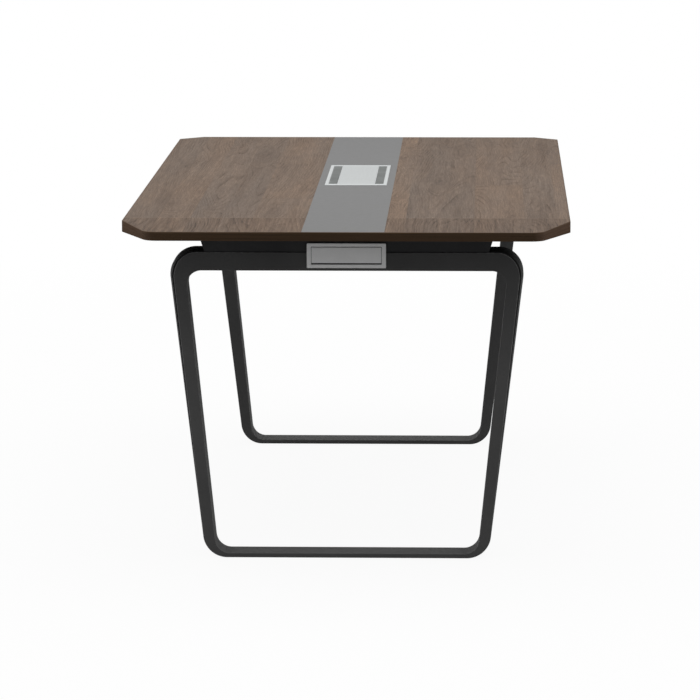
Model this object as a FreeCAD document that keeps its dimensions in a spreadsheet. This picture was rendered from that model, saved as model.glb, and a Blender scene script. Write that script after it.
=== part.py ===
"""A rectangular meeting table on two steel loop legs, with a cable box, a cable tray and cable ports at its ends.

The frame has its origin on the floor under the middle of the table, X across, Y along the length, Z up, in millimetres.
The front end is at -Y.
"""
import FreeCAD, Part
import math
import os
import re
import Sketcher
from FreeCAD import Placement, Rotation, Vector

# Driving dimensions, kept in the document's sheet under these names

DIMENSIONS = {
    # board
    "top_length": 2000,
    "top_width": 970,
    "top_height": 750,
    "board_thick": 25,
    "edge_land": 3,
    "end_setback": 46,
    "front_cut_across": 65,
    "front_cut_along": 203,
    "front_cut_round": 34,
    "rear_cut_across": 58,
    "rear_cut_along": 54,
    "band_thick": 2,
    "strip_width": 176,
    "strip_thick": 2,
    # loop legs
    "loop_face": 763,
    "loop_deep": 75,
    "loop_base": 0.8,
    "loop_top": 681,
    "loop_top_half": 391.6,
    "loop_foot_half": 310,
    "loop_top_round": 54,
    "loop_foot_round": 48,
    "rail_tall": 44.8,
    "bar_thick": 9.7,
    "inner_top_half": 351.4,
    "inner_foot_half": 287.5,
    "inner_top_round": 26,
    "inner_foot_round": 34,
    "loop_edge_round": 4.5,
    "inner_edge_round": 1.2,
    "tube_wall": 2,
    "core_foot": 70,
    "glide_radius": 12,
    "glide_along": 15,
    "glide_across": 245,
    # risers
    "riser_recess": 3,
    "riser_deep": 68,
    "riser_top_half": 325,
    "riser_foot_half": 310.7,
    "riser_floor": 6,
    "tab_across": 120,
    "tab_wide": 60,
    "tab_long": 35,
    "tab_thick": 4,
    # welds of the loops: heights over and under the legs, places across at the ends of the rail and of the floor bar
    "weld_high": 600,
    "weld_low": 46,
    "rail_reach": 320,
    "bar_reach": 255,
    # bolts from the loops up into the risers
    "bolt_inner": 150,
    "bolt_outer": 285,
    "bolt_radius": 4,
    "bolt_clear": 0.5,
    "bolt_head_radius": 6.5,
    "bolt_head_tall": 8,
    "access_radius": 8,
    # rails along the table
    "rail_across": 235,
    "hat_half": 25,
    "hat_flange": 22,
    "hat_tall": 43,
    "hat_sheet": 2.5,
    "screw_pitch": 320,
    "screw_radius": 2.25,
    "screw_bite": 16,
    "screw_head_radius": 4.5,
    "screw_head_tall": 3,
    "bracket_half": 20.5,
    "bracket_thick": 5,
    "bracket_foot": 60,
    "bracket_tall": 36,
    # cross bars and cable tray
    "bar_spread": 330,
    "bar_half": 282,
    "bar_wide": 40,
    "bar_tall": 20,
    "small_bolt_radius": 3,
    "small_head_radius": 5,
    "small_head_tall": 6,
    "tray_half": 75,
    "tray_tall": 50,
    "tray_length": 800,
    "tray_drop": 12,
    "tray_sheet": 1.5,
    "tray_lip": 12,
    "strap_wide": 30,
    "strap_thick": 3,
    "strap_foot": 30,
    # cable box
    "box_along": 98,
    "box_width": 144,
    "box_length": 424,
    "box_proud": 1.5,
    "window_half": 64,
    "window_reach": 188,
    "cutout_half": 66,
    "cutout_reach": 206,
    "skirt_gap": 0.3,
    "skirt_tall": 14,
    "lid_half": 44.5,
    "lid_thick": 4,
    "lid_gap": 0.8,
    "lid_bevel": 1.5,
    "lid_hinge_in": 3,
    "lid_hinge_drop": 2.3,
    "lid_rod_radius": 1.5,
    "lid_rod_reach": 194,
    "rod_clear": 0.05,
    "ledge_long": 34,
    "ledge_wide": 6,
    "ledge_thick": 3,
    "brush_edge": 46.4,
    "brush_thick": 5,
    "brush_drop": 1,
    "tub_gap": 0.3,
    "tub_sheet": 1.5,
    "tub_tall": 76,
    "tub_drop": 6,
    "tub_port_half": 35,
    "tub_port_tall": 30,
    "tub_port_sill": 6,
    "socket_half": 27,
    "socket_reach": 165,
    "socket_tall": 44,
    "socket_radius": 20,
    "socket_deep": 14,
    "socket_pitch": 62,
    "socket_first": -120,
    "face_thick": 4,
    "pin_hole_radius": 2.4,
    "pin_hole_half": 9.5,
    "data_first": 75,
    "data_pitch": 34,
    "data_half": 10,
    "data_deep": 8,
    # cable ports in the ends
    "port_half": 86,
    "port_low": 643,
    "port_high": 697,
    "port_proud": 6,
    "port_back": 1,
    "port_window_half": 76.8,
    "port_window_low": 650.6,
    "port_window_high": 689.2,
    "sleeve_half": 70,
    "sleeve_low": 652,
    "sleeve_high": 686,
    "sleeve_wall": 2,
    "sleeve_long": 76,
    "notch_gap": 0.5,
    "flap_half": 75.8,
    "flap_low": 654,
    "flap_high": 688.4,
    "flap_thick": 4,
    "flap_rod_radius": 1,
    "flap_rod_half": 80,
}

doc = FreeCAD.newDocument("MeetingTable")
sheet = doc.addObject("Spreadsheet::Sheet", "Sheet")
for row, (alias, size) in enumerate(DIMENSIONS.items(), start=1):
    sheet.set(f"A{row}", alias)
    sheet.set(f"B{row}", str(size))
    sheet.setAlias(f"B{row}", alias)
doc.recompute()

nodes = []

# Names for heights and places that several pieces share

UNDERSIDE = "(top_height - board_thick)"
ARRIS = "(top_height - edge_land)"
HALF_LENGTH = "(top_length / 2)"
HALF_WIDTH = "(top_width / 2)"
LOOP_MIDDLE = "(loop_face - loop_deep / 2)"
RISER_MIDDLE = "(loop_face - riser_recess - riser_deep / 2)"
RISER_INNER = "(loop_face - riser_recess - riser_deep)"
WEB = f"({UNDERSIDE} - hat_tall)"
BAR_UNDER = f"({WEB} - bar_tall)"
BOX_TOP = "(top_height + box_proud)"
TUB_TOP = "(top_height - tub_drop)"
TUB_HALF = "(window_half - tub_gap)"
TUB_REACH = "(window_reach - tub_gap)"
TUB_FLOOR = f"({TUB_TOP} - tub_tall + tub_sheet)"
LID_AXIS_X = "(lid_hinge_in - lid_half)"
LID_AXIS_Z = f"({BOX_TOP} - lid_hinge_drop)"
FLAP_AXIS_Y = "(flap_thick / 2 - port_proud)"
FLAP_AXIS_Z = "(flap_high - flap_thick / 2)"


# Helpers

def value(expression):
    """The number that an expression in the sheet's names stands for."""
    return float(sheet.evalExpression(str(expression)))


def bind(thing, prop, expression):
    """Drives a property with an expression in the sheet's names."""
    thing.setExpression(prop, re.sub(r"[a-z][a-z_]+", lambda name: "Sheet." + name.group(), str(expression)))


def place(thing, x=0, y=0, z=0, turn=0):
    """Puts a piece at a point given in expressions, turned about Z by a whole number of degrees."""
    thing.Placement = Placement(Vector(value(x), value(y), value(z)), Rotation(Vector(0, 0, 1), turn))
    for axis, expression in (("x", x), ("y", y), ("z", z)):
        bind(thing, f"Placement.Base.{axis}", expression)


def keep(thing, label):
    """Names a finished piece and lists it as a node."""
    thing.Label = label
    nodes.append(thing)
    return thing


def new_body(name):
    return doc.addObject("PartDesign::Body", name)


def sketch_on(body, role, name, offset=0):
    """A sketch on one of the body's own origin planes, moved off it by an expression."""
    sketch = body.newObject("Sketcher::SketchObject", name)
    plane = next(f for f in body.Origin.OriginFeatures if f.Role == role)
    sketch.AttachmentSupport = [(plane, "")]
    sketch.MapMode = "FlatFace"
    bind(sketch, "AttachmentOffset.Base.z", offset)
    return sketch


def pin_point(sketch, geometry, end, spot):
    """Holds a point of a sketch at a place given in expressions."""
    for kind, expression in zip(("DistanceX", "DistanceY"), spot):
        index = sketch.addConstraint(Sketcher.Constraint(kind, -1, 1, geometry, end, value(expression)))
        bind(sketch, f"Constraints[{index}]", expression)


def outline(sketch, corners):
    """A closed outline through corners given as (x, y) or, for a rounded corner, (x, y, radius)."""
    spots = [Vector(value(c[0]), value(c[1]), 0) for c in corners]
    count = len(corners)
    enter, leave, arcs = [], [], []
    for i, corner in enumerate(corners):
        radius = value(corner[2]) if len(corner) > 2 else 0
        back = (spots[i - 1] - spots[i]).normalize()
        ahead = (spots[(i + 1) % count] - spots[i]).normalize()
        half = back.getAngle(ahead) / 2
        reach = radius / math.tan(half)
        enter.append(spots[i] + back * reach)
        leave.append(spots[i] + ahead * reach)
        centre = spots[i] + (back + ahead).normalize() * (radius / math.sin(half))
        arcs.append((radius, centre, (back.cross(ahead)).z < 0))
    edges = [sketch.addGeometry(Part.LineSegment(leave[i], enter[(i + 1) % count])) for i in range(count)]
    for i, corner in enumerate(corners):
        radius, centre, left_turn = arcs[i]
        coming, going = edges[i - 1], edges[i]
        if not radius:
            sketch.addConstraint(Sketcher.Constraint("Coincident", coming, 2, going, 1))
            pin_point(sketch, going, 1, corner)
            continue
        first, last = (enter[i], leave[i]) if left_turn else (leave[i], enter[i])
        start, stop = (math.atan2((p - centre).y, (p - centre).x) for p in (first, last))
        if stop < start:
            stop += 2 * math.pi
        arc = sketch.addGeometry(Part.ArcOfCircle(Part.Circle(centre, Vector(0, 0, 1), radius), start, stop))
        arc_in, arc_out = (1, 2) if left_turn else (2, 1)
        corner_point = sketch.addGeometry(Part.Point(spots[i]), True)
        pin_point(sketch, corner_point, 1, corner)
        for line in (coming, going):
            sketch.addConstraint(Sketcher.Constraint("PointOnObject", corner_point, 1, line))
        sketch.addConstraint(Sketcher.Constraint("Tangent", coming, 2, arc, arc_in))
        sketch.addConstraint(Sketcher.Constraint("Tangent", arc, arc_out, going, 1))
        index = sketch.addConstraint(Sketcher.Constraint("Radius", arc, radius))
        bind(sketch, f"Constraints[{index}]", corner[2])


def rectangle(sketch, x0, y0, x1, y1):
    outline(sketch, [(x0, y0), (x1, y0), (x1, y1), (x0, y1)])


def mirrored_outline(sketch, right_half):
    """An outline symmetric about the sketch's vertical axis, from the corners of its right half."""
    left_half = [(f"-({c[0]})", *c[1:]) for c in reversed(right_half)]
    outline(sketch, [*right_half, *left_half])


def circles(sketch, radius, spots):
    """Equal circles at places given in expressions."""
    for x, y in spots:
        circle = sketch.addGeometry(Part.Circle(Vector(value(x), value(y), 0), Vector(0, 0, 1), value(radius)))
        pin_point(sketch, circle, 3, (x, y))
        index = sketch.addConstraint(Sketcher.Constraint("Radius", circle, value(radius)))
        bind(sketch, f"Constraints[{index}]", radius)


def extrude(body, kind, sketch, length, middle=False, back=False):
    """A Pad or Pocket of a sketch over a length, to both sides of it or against its normal where asked."""
    before = body.Shape.Volume if not body.Shape.isNull() else 0.0
    feature = body.newObject(f"PartDesign::{kind}", f"{sketch.Name}{kind}")
    feature.Profile = sketch
    bind(feature, "Length", length)
    feature.Midplane = middle
    feature.Reversed = back
    doc.recompute()
    grown = body.Shape.Volume - before
    if (kind == "Pad") != (grown > 0) or abs(grown) < 1e-3:
        raise RuntimeError(f"{feature.Name} changed the volume by {grown:.3f}")
    return feature


def pad(body, sketch, length, **way):
    return extrude(body, "Pad", sketch, length, **way)


def pocket(body, sketch, length, **way):
    return extrude(body, "Pocket", sketch, length, **way)


def dress(body, kind, edges, size):
    """A Fillet or Chamfer on the edges of the body that a test picks."""
    base = body.Tip
    names = [f"Edge{i}" for i, edge in enumerate(base.Shape.Edges, start=1) if edges(edge)]
    feature = body.newObject(f"PartDesign::{kind}", f"{body.Name}{kind}")
    feature.Base = (base, names)
    bind(feature, "Radius" if kind == "Fillet" else "Size", size)
    doc.recompute()
    return feature


def rod(radius, length, x, y, z, direction):
    """A round rod that starts at a point and runs along a direction."""
    cylinder = doc.addObject("Part::Cylinder", "Rod")
    bind(cylinder, "Radius", radius)
    bind(cylinder, "Height", length)
    place(cylinder, x, y, z)
    cylinder.Placement = Placement(cylinder.Placement.Base, Rotation(Vector(0, 0, 1), Vector(*direction)))
    return cylinder


def bolt(seat, direction, head, shank):
    """A headed fastener: its head stands on the seat against the direction, its shank runs along it."""
    head_radius, head_tall = head
    shank_radius, shank_long = shank
    back = tuple(-d for d in direction)
    fused = doc.addObject("Part::Fuse", "Fastener")
    fused.Base = rod(head_radius, head_tall, *seat, back)
    fused.Tool = rod(shank_radius, shank_long, *seat, direction)
    return fused


def group(label, pieces):
    """Identical separate solids kept as one node."""
    compound = doc.addObject("Part::Compound", label)
    compound.Links = pieces
    return keep(compound, label)


def copies(label, body, spots):
    """One body set down at several places, each (x, y, z, turn), as one node."""
    links = []
    for x, y, z, turn in spots:
        link = doc.addObject("App::Link", f"{label}Copy")
        link.LinkedObject = body
        place(link, x, y, z, turn)
        links.append(link)
    return group(label, links)


ENDS = (("front", -1, 0), ("rear", 1, 180))
SIDES = (("left", -1), ("right", 1))
UP = (0, 0, 1)
BOTH = (-1, 1)


# Board, edge band and centre strip

def board_outline(sketch, level, inset):
    """The board's outline at its top arris or at its underside, drawn in by an inset."""
    setback = "end_setback" if level == "under" else "0"
    end = f"{HALF_LENGTH} - {setback} - {inset}"
    front_half = f"{HALF_WIDTH} - front_cut_across - 0.8 * {inset}"
    rear_half = f"{HALF_WIDTH} - rear_cut_across - 0.8 * {inset}"
    side = f"{HALF_WIDTH} - {inset}"
    mirrored_outline(sketch, [
        (front_half, f"-({end})", f"front_cut_round - {inset}"),
        (side, f"front_cut_along - {HALF_LENGTH}"),
        (side, f"{HALF_LENGTH} - rear_cut_along - {setback} - 0.8 * {inset}"),
        (rear_half, end),
    ])


def undercut_slab(body, inset, kind):
    """The board's form: straight land at the top arris, ends drawn back towards the underside."""
    under = sketch_on(body, "XY_Plane", f"{body.Name}{kind}Under", UNDERSIDE)
    board_outline(under, "under", inset)
    arris = sketch_on(body, "XY_Plane", f"{body.Name}{kind}Arris", ARRIS)
    board_outline(arris, "arris", inset)
    doc.recompute()
    loft = body.newObject(f"PartDesign::{kind}Loft", f"{body.Name}{kind}Loft")
    loft.Profile = under
    loft.Sections = [arris]
    loft.Ruled = True
    doc.recompute()
    extrude(body, "Pad" if kind == "Additive" else "Pocket", arris, "edge_land", back=kind == "Subtractive")


def make_top():
    board = new_body("Tabletop")
    undercut_slab(board, "band_thick", "Additive")
    groove = sketch_on(board, "XY_Plane", "StripGroove", "top_height")
    reach = HALF_LENGTH
    rectangle(groove, "-strip_width / 2", f"-{reach}", "strip_width / 2", reach)
    pocket(board, groove, "strip_thick")
    well = sketch_on(board, "XY_Plane", "BoxCutout", "top_height")
    rectangle(well, "-cutout_half", "box_along - cutout_reach", "cutout_half", "box_along + cutout_reach")
    pocket(board, well, "board_thick")
    keep(board, "tabletop")

    band = new_body("EdgeBand")
    undercut_slab(band, "0", "Additive")
    undercut_slab(band, "band_thick", "Subtractive")
    keep(band, "edge_band")

    strip = new_body("CentreStrip")
    face = sketch_on(strip, "XY_Plane", "StripFace", "top_height")
    end = f"({HALF_LENGTH} - band_thick)"
    rectangle(face, "-strip_width / 2", f"-{end}", "strip_width / 2", end)
    pad(strip, face, "strip_thick", back=True)
    hole = sketch_on(strip, "XY_Plane", "StripHole", "top_height")
    rectangle(hole, "-cutout_half", "box_along - cutout_reach", "cutout_half", "box_along + cutout_reach")
    pocket(strip, hole, "strip_thick")
    keep(strip, "centre_strip")


# Loop legs and risers

BOLT_PLACES = [f"{sign} * {across}" for across in ("bolt_inner", "bolt_outer") for sign in BOTH]
TAB_SCREWS = [(f"{sign} * tab_across + {step} * tab_wide / 4", "riser_deep / 2 + tab_long * 0.6")
              for sign in BOTH for step in BOTH]
BRACKET_BOLT = f"({RISER_INNER} - bracket_foot * 0.6)"
BRACKET_PIN = "(hat_sheet + bracket_tall * 0.6)"


def port_notch(body, name):
    """A rectangular way through a beam for the sleeve of the cable port."""
    notch = sketch_on(body, "XZ_Plane", name)
    rectangle(notch, "-sleeve_half - notch_gap", "sleeve_low - notch_gap",
              "sleeve_half + notch_gap", "sleeve_high + notch_gap")
    pocket(body, notch, "2 * loop_deep", middle=True)


def on_face(edge):
    """Whether an edge lies in the front or the rear face of a loop."""
    half = value("loop_deep / 2")
    along = [v.Y for v in edge.Vertexes]
    return abs(abs(along[0]) - half) < 1e-6 and abs(along[0] - along[-1]) < 1e-6


def round_window(edge):
    """Whether an edge belongs to a loop's inner outline."""
    low, high, half = value("loop_base + bar_thick"), value("loop_top - rail_tall"), value("inner_top_half")
    return all(abs(v.X) < half and low - 1e-6 < v.Z < high + 1e-6 for v in edge.Vertexes)


def both_sides(piece, near, far, *others):
    """A span from near to far on the right of the middle, and the same one on the left."""
    return [(f"Left{piece}", (f"-{far}", f"-{near}"), *others), (f"Right{piece}", (near, far), *others)]


def welded(body, label, spans):
    """Keeps a body as the lengths that it is welded from: what it has within each span across, along and up."""
    lengths = []
    for piece, *ways in spans:
        block = doc.addObject("Part::Box", f"{body.Name}{piece}Block")
        for size, (low, high) in zip(("Length", "Width", "Height"), ways):
            bind(block, size, f"{high} - ({low})")
        place(block, *[low for low, _ in ways])
        length = doc.addObject("Part::Common", f"{body.Name}{piece}")
        length.Base = body
        length.Tool = block
        lengths.append(length)
    group(label, lengths)


def outwards(side, near, far):
    """The span along the table from near to far at the end on the given side."""
    return (near, far) if side > 0 else (f"-{far}", f"-{near}")


NOTCH_HALF = "(sleeve_half + notch_gap)"
PAST_SIDE = "(loop_top_half + 10)"
PAST_END = "(loop_face + 10)"


def weld_loop(loop, label, side):
    """A loop's lengths: saddle under the port, rails, bends, legs, feet and floor bar."""
    along = outwards(side, "(loop_face - 2 * loop_deep)", PAST_END)
    high, low = ("weld_high", "loop_top + 10"), ("(loop_base - 10)", "weld_low")
    welded(loop, label, [
        ("Saddle", (f"-{NOTCH_HALF}", NOTCH_HALF), along, high),
        ("Bar", ("-bar_reach", "bar_reach"), along, low),
        *both_sides("Rail", NOTCH_HALF, "rail_reach", along, high),
        *both_sides("Bend", "rail_reach", PAST_SIDE, along, high),
        *both_sides("Leg", "0", PAST_SIDE, along, ("weld_low", "weld_high")),
        *both_sides("Foot", "bar_reach", PAST_SIDE, along, low),
    ])


def weld_riser(riser, label, side):
    """A riser's lengths: saddle over the port, beams and screw tabs."""
    up = ("loop_top", "top_height")
    along = outwards(side, RISER_INNER, PAST_END)
    tab = outwards(side, f"({RISER_INNER} - 2 * tab_long)", RISER_INNER)
    welded(riser, label, [
        ("Saddle", (f"-{NOTCH_HALF}", NOTCH_HALF), along, up),
        *both_sides("Beam", NOTCH_HALF, PAST_SIDE, along, up),
        *both_sides("Tab", NOTCH_HALF, PAST_SIDE, tab, up),
    ])


def make_loop(name, side):
    """A closed loop of tube: rail on top, two tapering legs, a flat floor bar, hollow above its feet."""
    loop = new_body(f"Loop{name}")
    frame = sketch_on(loop, "XZ_Plane", f"Loop{name}Frame")
    mirrored_outline(frame, [
        ("loop_foot_half", "loop_base", "loop_foot_round"),
        ("loop_top_half", "loop_top", "loop_top_round"),
    ])
    mirrored_outline(frame, [
        ("inner_foot_half", "loop_base + bar_thick", "inner_foot_round"),
        ("inner_top_half", "loop_top - rail_tall", "inner_top_round"),
    ])
    pad(loop, frame, "loop_deep", middle=True)
    dress(loop, "Fillet", lambda e: on_face(e) and not round_window(e), "loop_edge_round")
    dress(loop, "Fillet", lambda e: on_face(e) and round_window(e), "inner_edge_round")
    port_notch(loop, f"Loop{name}Notch")
    core = sketch_on(loop, "XZ_Plane", f"Loop{name}Core")
    outer_rise = "(loop_top - loop_base)"
    inner_rise = "(loop_top - loop_base - rail_tall - bar_thick)"
    outer_foot = f"loop_foot_half + (loop_top_half - loop_foot_half) * core_foot / {outer_rise} - 1.5 * tube_wall"
    inner_foot = f"inner_foot_half + (inner_top_half - inner_foot_half) * core_foot / {inner_rise} + tube_wall"
    for sign in BOTH:
        outline(core, [(f"{sign} * ({c[0]})", *c[1:]) for c in (
            ("sleeve_half + 3 * tube_wall", "loop_top - tube_wall"),
            ("loop_top_half - 1.5 * tube_wall", "loop_top - tube_wall", "loop_top_round - tube_wall"),
            (outer_foot, "core_foot"),
            (inner_foot, "core_foot"),
            ("inner_top_half + 1.5 * tube_wall", "loop_top - rail_tall + tube_wall"),
            ("sleeve_half + 3 * tube_wall", "loop_top - rail_tall + tube_wall"),
        )])
    pocket(loop, core, "loop_deep - 2 * tube_wall", middle=True)
    bores = sketch_on(loop, "XY_Plane", f"Loop{name}Bores", "loop_top")
    circles(bores, "bolt_radius + bolt_clear", [(x, 0) for x in BOLT_PLACES])
    pocket(loop, bores, "2 * tube_wall")
    access = sketch_on(loop, "XY_Plane", f"Loop{name}Access", "loop_top - rail_tall")
    circles(access, "access_radius", [(x, 0) for x in BOLT_PLACES])
    pocket(loop, access, "2 * tube_wall", back=True)
    place(loop, 0, f"{side} * {LOOP_MIDDLE}", 0)
    weld_loop(loop, f"loop_{name.lower()}", side)


def make_riser(name, side, turn):
    """A hollow beam with slanted ends between the loop and the board, with two screw tabs on its inner side."""
    riser = new_body(f"Riser{name}")
    beam = sketch_on(riser, "XZ_Plane", f"Riser{name}Beam")
    mirrored_outline(beam, [("riser_foot_half", "loop_top"), ("riser_top_half", UNDERSIDE)])
    pad(riser, beam, "riser_deep", middle=True)
    tabs = sketch_on(riser, "XY_Plane", f"Riser{name}Tabs", UNDERSIDE)
    for sign in BOTH:
        rectangle(tabs, f"{sign} * tab_across - tab_wide / 2", "riser_deep / 2",
                  f"{sign} * tab_across + tab_wide / 2", "riser_deep / 2 + tab_long")
    pad(riser, tabs, "tab_thick", back=True)
    port_notch(riser, f"Riser{name}Notch")
    core = sketch_on(riser, "XZ_Plane", f"Riser{name}Core")
    mirrored_outline(core, [
        ("sleeve_half + 3 * tube_wall", "sleeve_high + 2 * tube_wall"),
        ("sleeve_half + 3 * tube_wall", "loop_top + riser_floor"),
        ("riser_foot_half - tube_wall", "loop_top + riser_floor"),
        ("riser_top_half - 2 * tube_wall", f"{UNDERSIDE} - tube_wall"),
    ])
    pocket(riser, core, "riser_deep - 2 * tube_wall", middle=True)
    bores = sketch_on(riser, "XY_Plane", f"Riser{name}Bores", "loop_top")
    circles(bores, "bolt_radius + rod_clear", [(x, f"{RISER_MIDDLE} - {LOOP_MIDDLE}") for x in BOLT_PLACES])
    pocket(riser, bores, "riser_floor + 1", back=True)
    holes = sketch_on(riser, "XY_Plane", f"Riser{name}TabHoles", UNDERSIDE)
    circles(holes, "screw_radius + bolt_clear", TAB_SCREWS)
    pocket(riser, holes, "tab_thick")
    bracket_holes = sketch_on(riser, "XZ_Plane", f"Riser{name}BracketHoles", "-riser_deep / 2")
    circles(bracket_holes, "bolt_radius + rod_clear",
            [(f"{sign} * rail_across", f"{WEB} + {BRACKET_PIN}") for sign in BOTH])
    pocket(riser, bracket_holes, "2 * tube_wall", back=True)
    place(riser, 0, f"{side} * {RISER_MIDDLE}", 0, turn)
    weld_riser(riser, f"riser_{name.lower()}", side)


def make_frame():
    for name, side, turn in ENDS:
        make_loop(name.capitalize(), side)
        make_riser(name.capitalize(), side, turn)
    group("loop_bolts", [
        bolt((x, f"{side} * {LOOP_MIDDLE}", "loop_top - tube_wall"), UP,
             ("bolt_head_radius", "bolt_head_tall"), ("bolt_radius", "tube_wall + riser_floor + 6"))
        for _, side, _ in ENDS for x in BOLT_PLACES])
    group("hole_caps", [
        rod("access_radius - rod_clear", "tube_wall", x, f"{side} * {LOOP_MIDDLE}", "loop_top - rail_tall", UP)
        for _, side, _ in ENDS for x in BOLT_PLACES])
    group("glides", [
        rod("glide_radius", "loop_base", f"{across} * glide_across", f"{side} * {LOOP_MIDDLE} + {along} * glide_along",
            0, UP)
        for _, side, _ in ENDS for across in BOTH for along in BOTH])


# Rails under the board, their brackets, cross bars

RAIL_SCREWS = [f"{step} * screw_pitch" for step in (-2, -1, 0, 1, 2)]
FLANGE_MIDDLE = "(hat_half + hat_flange / 2)"
STRAP_BOLT = "(tray_half + strap_thick + strap_foot / 2)"


def make_rail(name, side):
    """A folded channel open to the top, with an outward flange along each side for the board's screws."""
    rail = new_body(f"Rail{name}")
    section = sketch_on(rail, "XZ_Plane", f"Rail{name}Section")
    top = UNDERSIDE
    mirrored_outline(section, [
        ("hat_half", WEB),
        ("hat_half", f"{top} - hat_sheet"),
        ("hat_half + hat_flange", f"{top} - hat_sheet"),
        ("hat_half + hat_flange", top),
        ("hat_half - hat_sheet", top),
        ("hat_half - hat_sheet", f"{WEB} + hat_sheet"),
    ])
    pad(rail, section, f"2 * {RISER_INNER}", middle=True)
    holes = sketch_on(rail, "XY_Plane", f"Rail{name}Holes", top)
    circles(holes, "screw_radius + bolt_clear",
            [(f"{sign} * {FLANGE_MIDDLE}", y) for sign in BOTH for y in RAIL_SCREWS])
    pocket(rail, holes, "hat_sheet")
    web_holes = sketch_on(rail, "XY_Plane", f"Rail{name}WebHoles", WEB)
    circles(web_holes, "small_bolt_radius + rod_clear",
            [(0, "box_along + bar_spread"), (0, "box_along - bar_spread")])
    circles(web_holes, "bolt_radius + bolt_clear", [(0, f"{end} * {BRACKET_BOLT}") for end in BOTH])
    pocket(rail, web_holes, "hat_sheet", back=True)
    place(rail, f"{side} * rail_across", 0, 0)
    keep(rail, f"rail_{name.lower()}")


def make_brackets():
    """Angle brackets in the rails' ends, each bolted down to the rail and against the riser."""
    bracket = new_body("RailBracket")
    section = sketch_on(bracket, "YZ_Plane", "BracketSection")
    outline(section, [
        (0, "hat_sheet"), ("-bracket_foot", "hat_sheet"), ("-bracket_foot", "hat_sheet + bracket_thick"),
        ("-bracket_thick", "hat_sheet + bracket_thick"), ("-bracket_thick", "hat_sheet + bracket_tall"),
        (0, "hat_sheet + bracket_tall"),
    ])
    pad(bracket, section, "2 * bracket_half", middle=True)
    foot_hole = sketch_on(bracket, "XY_Plane", "BracketFootHole", "hat_sheet")
    circles(foot_hole, "bolt_radius + rod_clear", [(0, "-bracket_foot * 0.6")])
    pocket(bracket, foot_hole, "bracket_thick", back=True)
    face_hole = sketch_on(bracket, "XZ_Plane", "BracketFaceHole")
    circles(face_hole, "bolt_radius + bolt_clear", [(0, BRACKET_PIN)])
    pocket(bracket, face_hole, "bracket_thick", back=True)
    copies("rail_brackets", bracket, [
        (f"{across} * rail_across", f"{end} * {RISER_INNER}", WEB, turn)
        for across in BOTH for end, turn in ((1, 0), (-1, 180))])
    group("bracket_bolts", [
        fastener for across in BOTH for end in BOTH for fastener in (
            bolt((f"{across} * rail_across", f"{end} * {BRACKET_BOLT}", WEB), UP,
                 ("bolt_head_radius", "bolt_head_tall"), ("bolt_radius", "hat_sheet + bracket_thick + 3")),
            bolt((f"{across} * rail_across", f"{end} * ({RISER_INNER} - bracket_thick)", f"{WEB} + {BRACKET_PIN}"),
                 (0, end, 0), ("bolt_head_radius", "bolt_head_tall"), ("bolt_radius", "bracket_thick + 8")),
        )])


def make_crossbar(name, side):
    """A rectangular tube bolted under both rails."""
    bar = new_body(f"Crossbar{name}")
    section = sketch_on(bar, "YZ_Plane", f"Crossbar{name}Section")
    rectangle(section, "-bar_wide / 2", BAR_UNDER, "bar_wide / 2", WEB)
    rectangle(section, "tube_wall - bar_wide / 2", f"{BAR_UNDER} + tube_wall",
              "bar_wide / 2 - tube_wall", f"{WEB} - tube_wall")
    pad(bar, section, "2 * bar_half", middle=True)
    holes = sketch_on(bar, "XY_Plane", f"Crossbar{name}Holes", BAR_UNDER)
    circles(holes, "small_bolt_radius + bolt_clear", [(f"{sign} * rail_across", 0) for sign in BOTH])
    pocket(bar, holes, "bar_tall", back=True)
    strap_holes = sketch_on(bar, "XY_Plane", f"Crossbar{name}StrapHoles", BAR_UNDER)
    circles(strap_holes, "small_bolt_radius + rod_clear", [(f"{sign} * {STRAP_BOLT}", 0) for sign in BOTH])
    pocket(bar, strap_holes, "tube_wall", back=True)
    place(bar, 0, f"box_along + {side} * bar_spread", 0)
    keep(bar, f"crossbar_{name.lower()}")


def make_underframe():
    for name, side in SIDES:
        make_rail(name.capitalize(), side)
    make_brackets()
    for name, side, _ in ENDS:
        make_crossbar(name.capitalize(), side)
    group("crossbar_bolts", [
        bolt((f"{across} * rail_across", f"box_along + {along} * bar_spread", BAR_UNDER), UP,
             ("small_head_radius", "small_head_tall"), ("small_bolt_radius", "bar_tall + hat_sheet + 4"))
        for across in BOTH for along in BOTH])
    rail_screws = [
        bolt((f"{side} * rail_across + {sign} * {FLANGE_MIDDLE}", y, f"{UNDERSIDE} - hat_sheet"), UP,
             ("screw_head_radius", "screw_head_tall"), ("screw_radius", "hat_sheet + screw_bite"))
        for _, side in SIDES for sign in BOTH for y in RAIL_SCREWS]
    tab_screws = [
        bolt((x, f"{side} * ({RISER_MIDDLE} - ({y}))", f"{UNDERSIDE} - tab_thick"), UP,
             ("screw_head_radius", "screw_head_tall"), ("screw_radius", "tab_thick + screw_bite"))
        for _, side, _ in ENDS for x, y in TAB_SCREWS]
    group("top_screws", rail_screws + tab_screws)


# Cable tray

TRAY_TOP = f"({BAR_UNDER} - tray_drop)"
TRAY_LOW = f"({TRAY_TOP} - tray_tall)"


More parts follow.
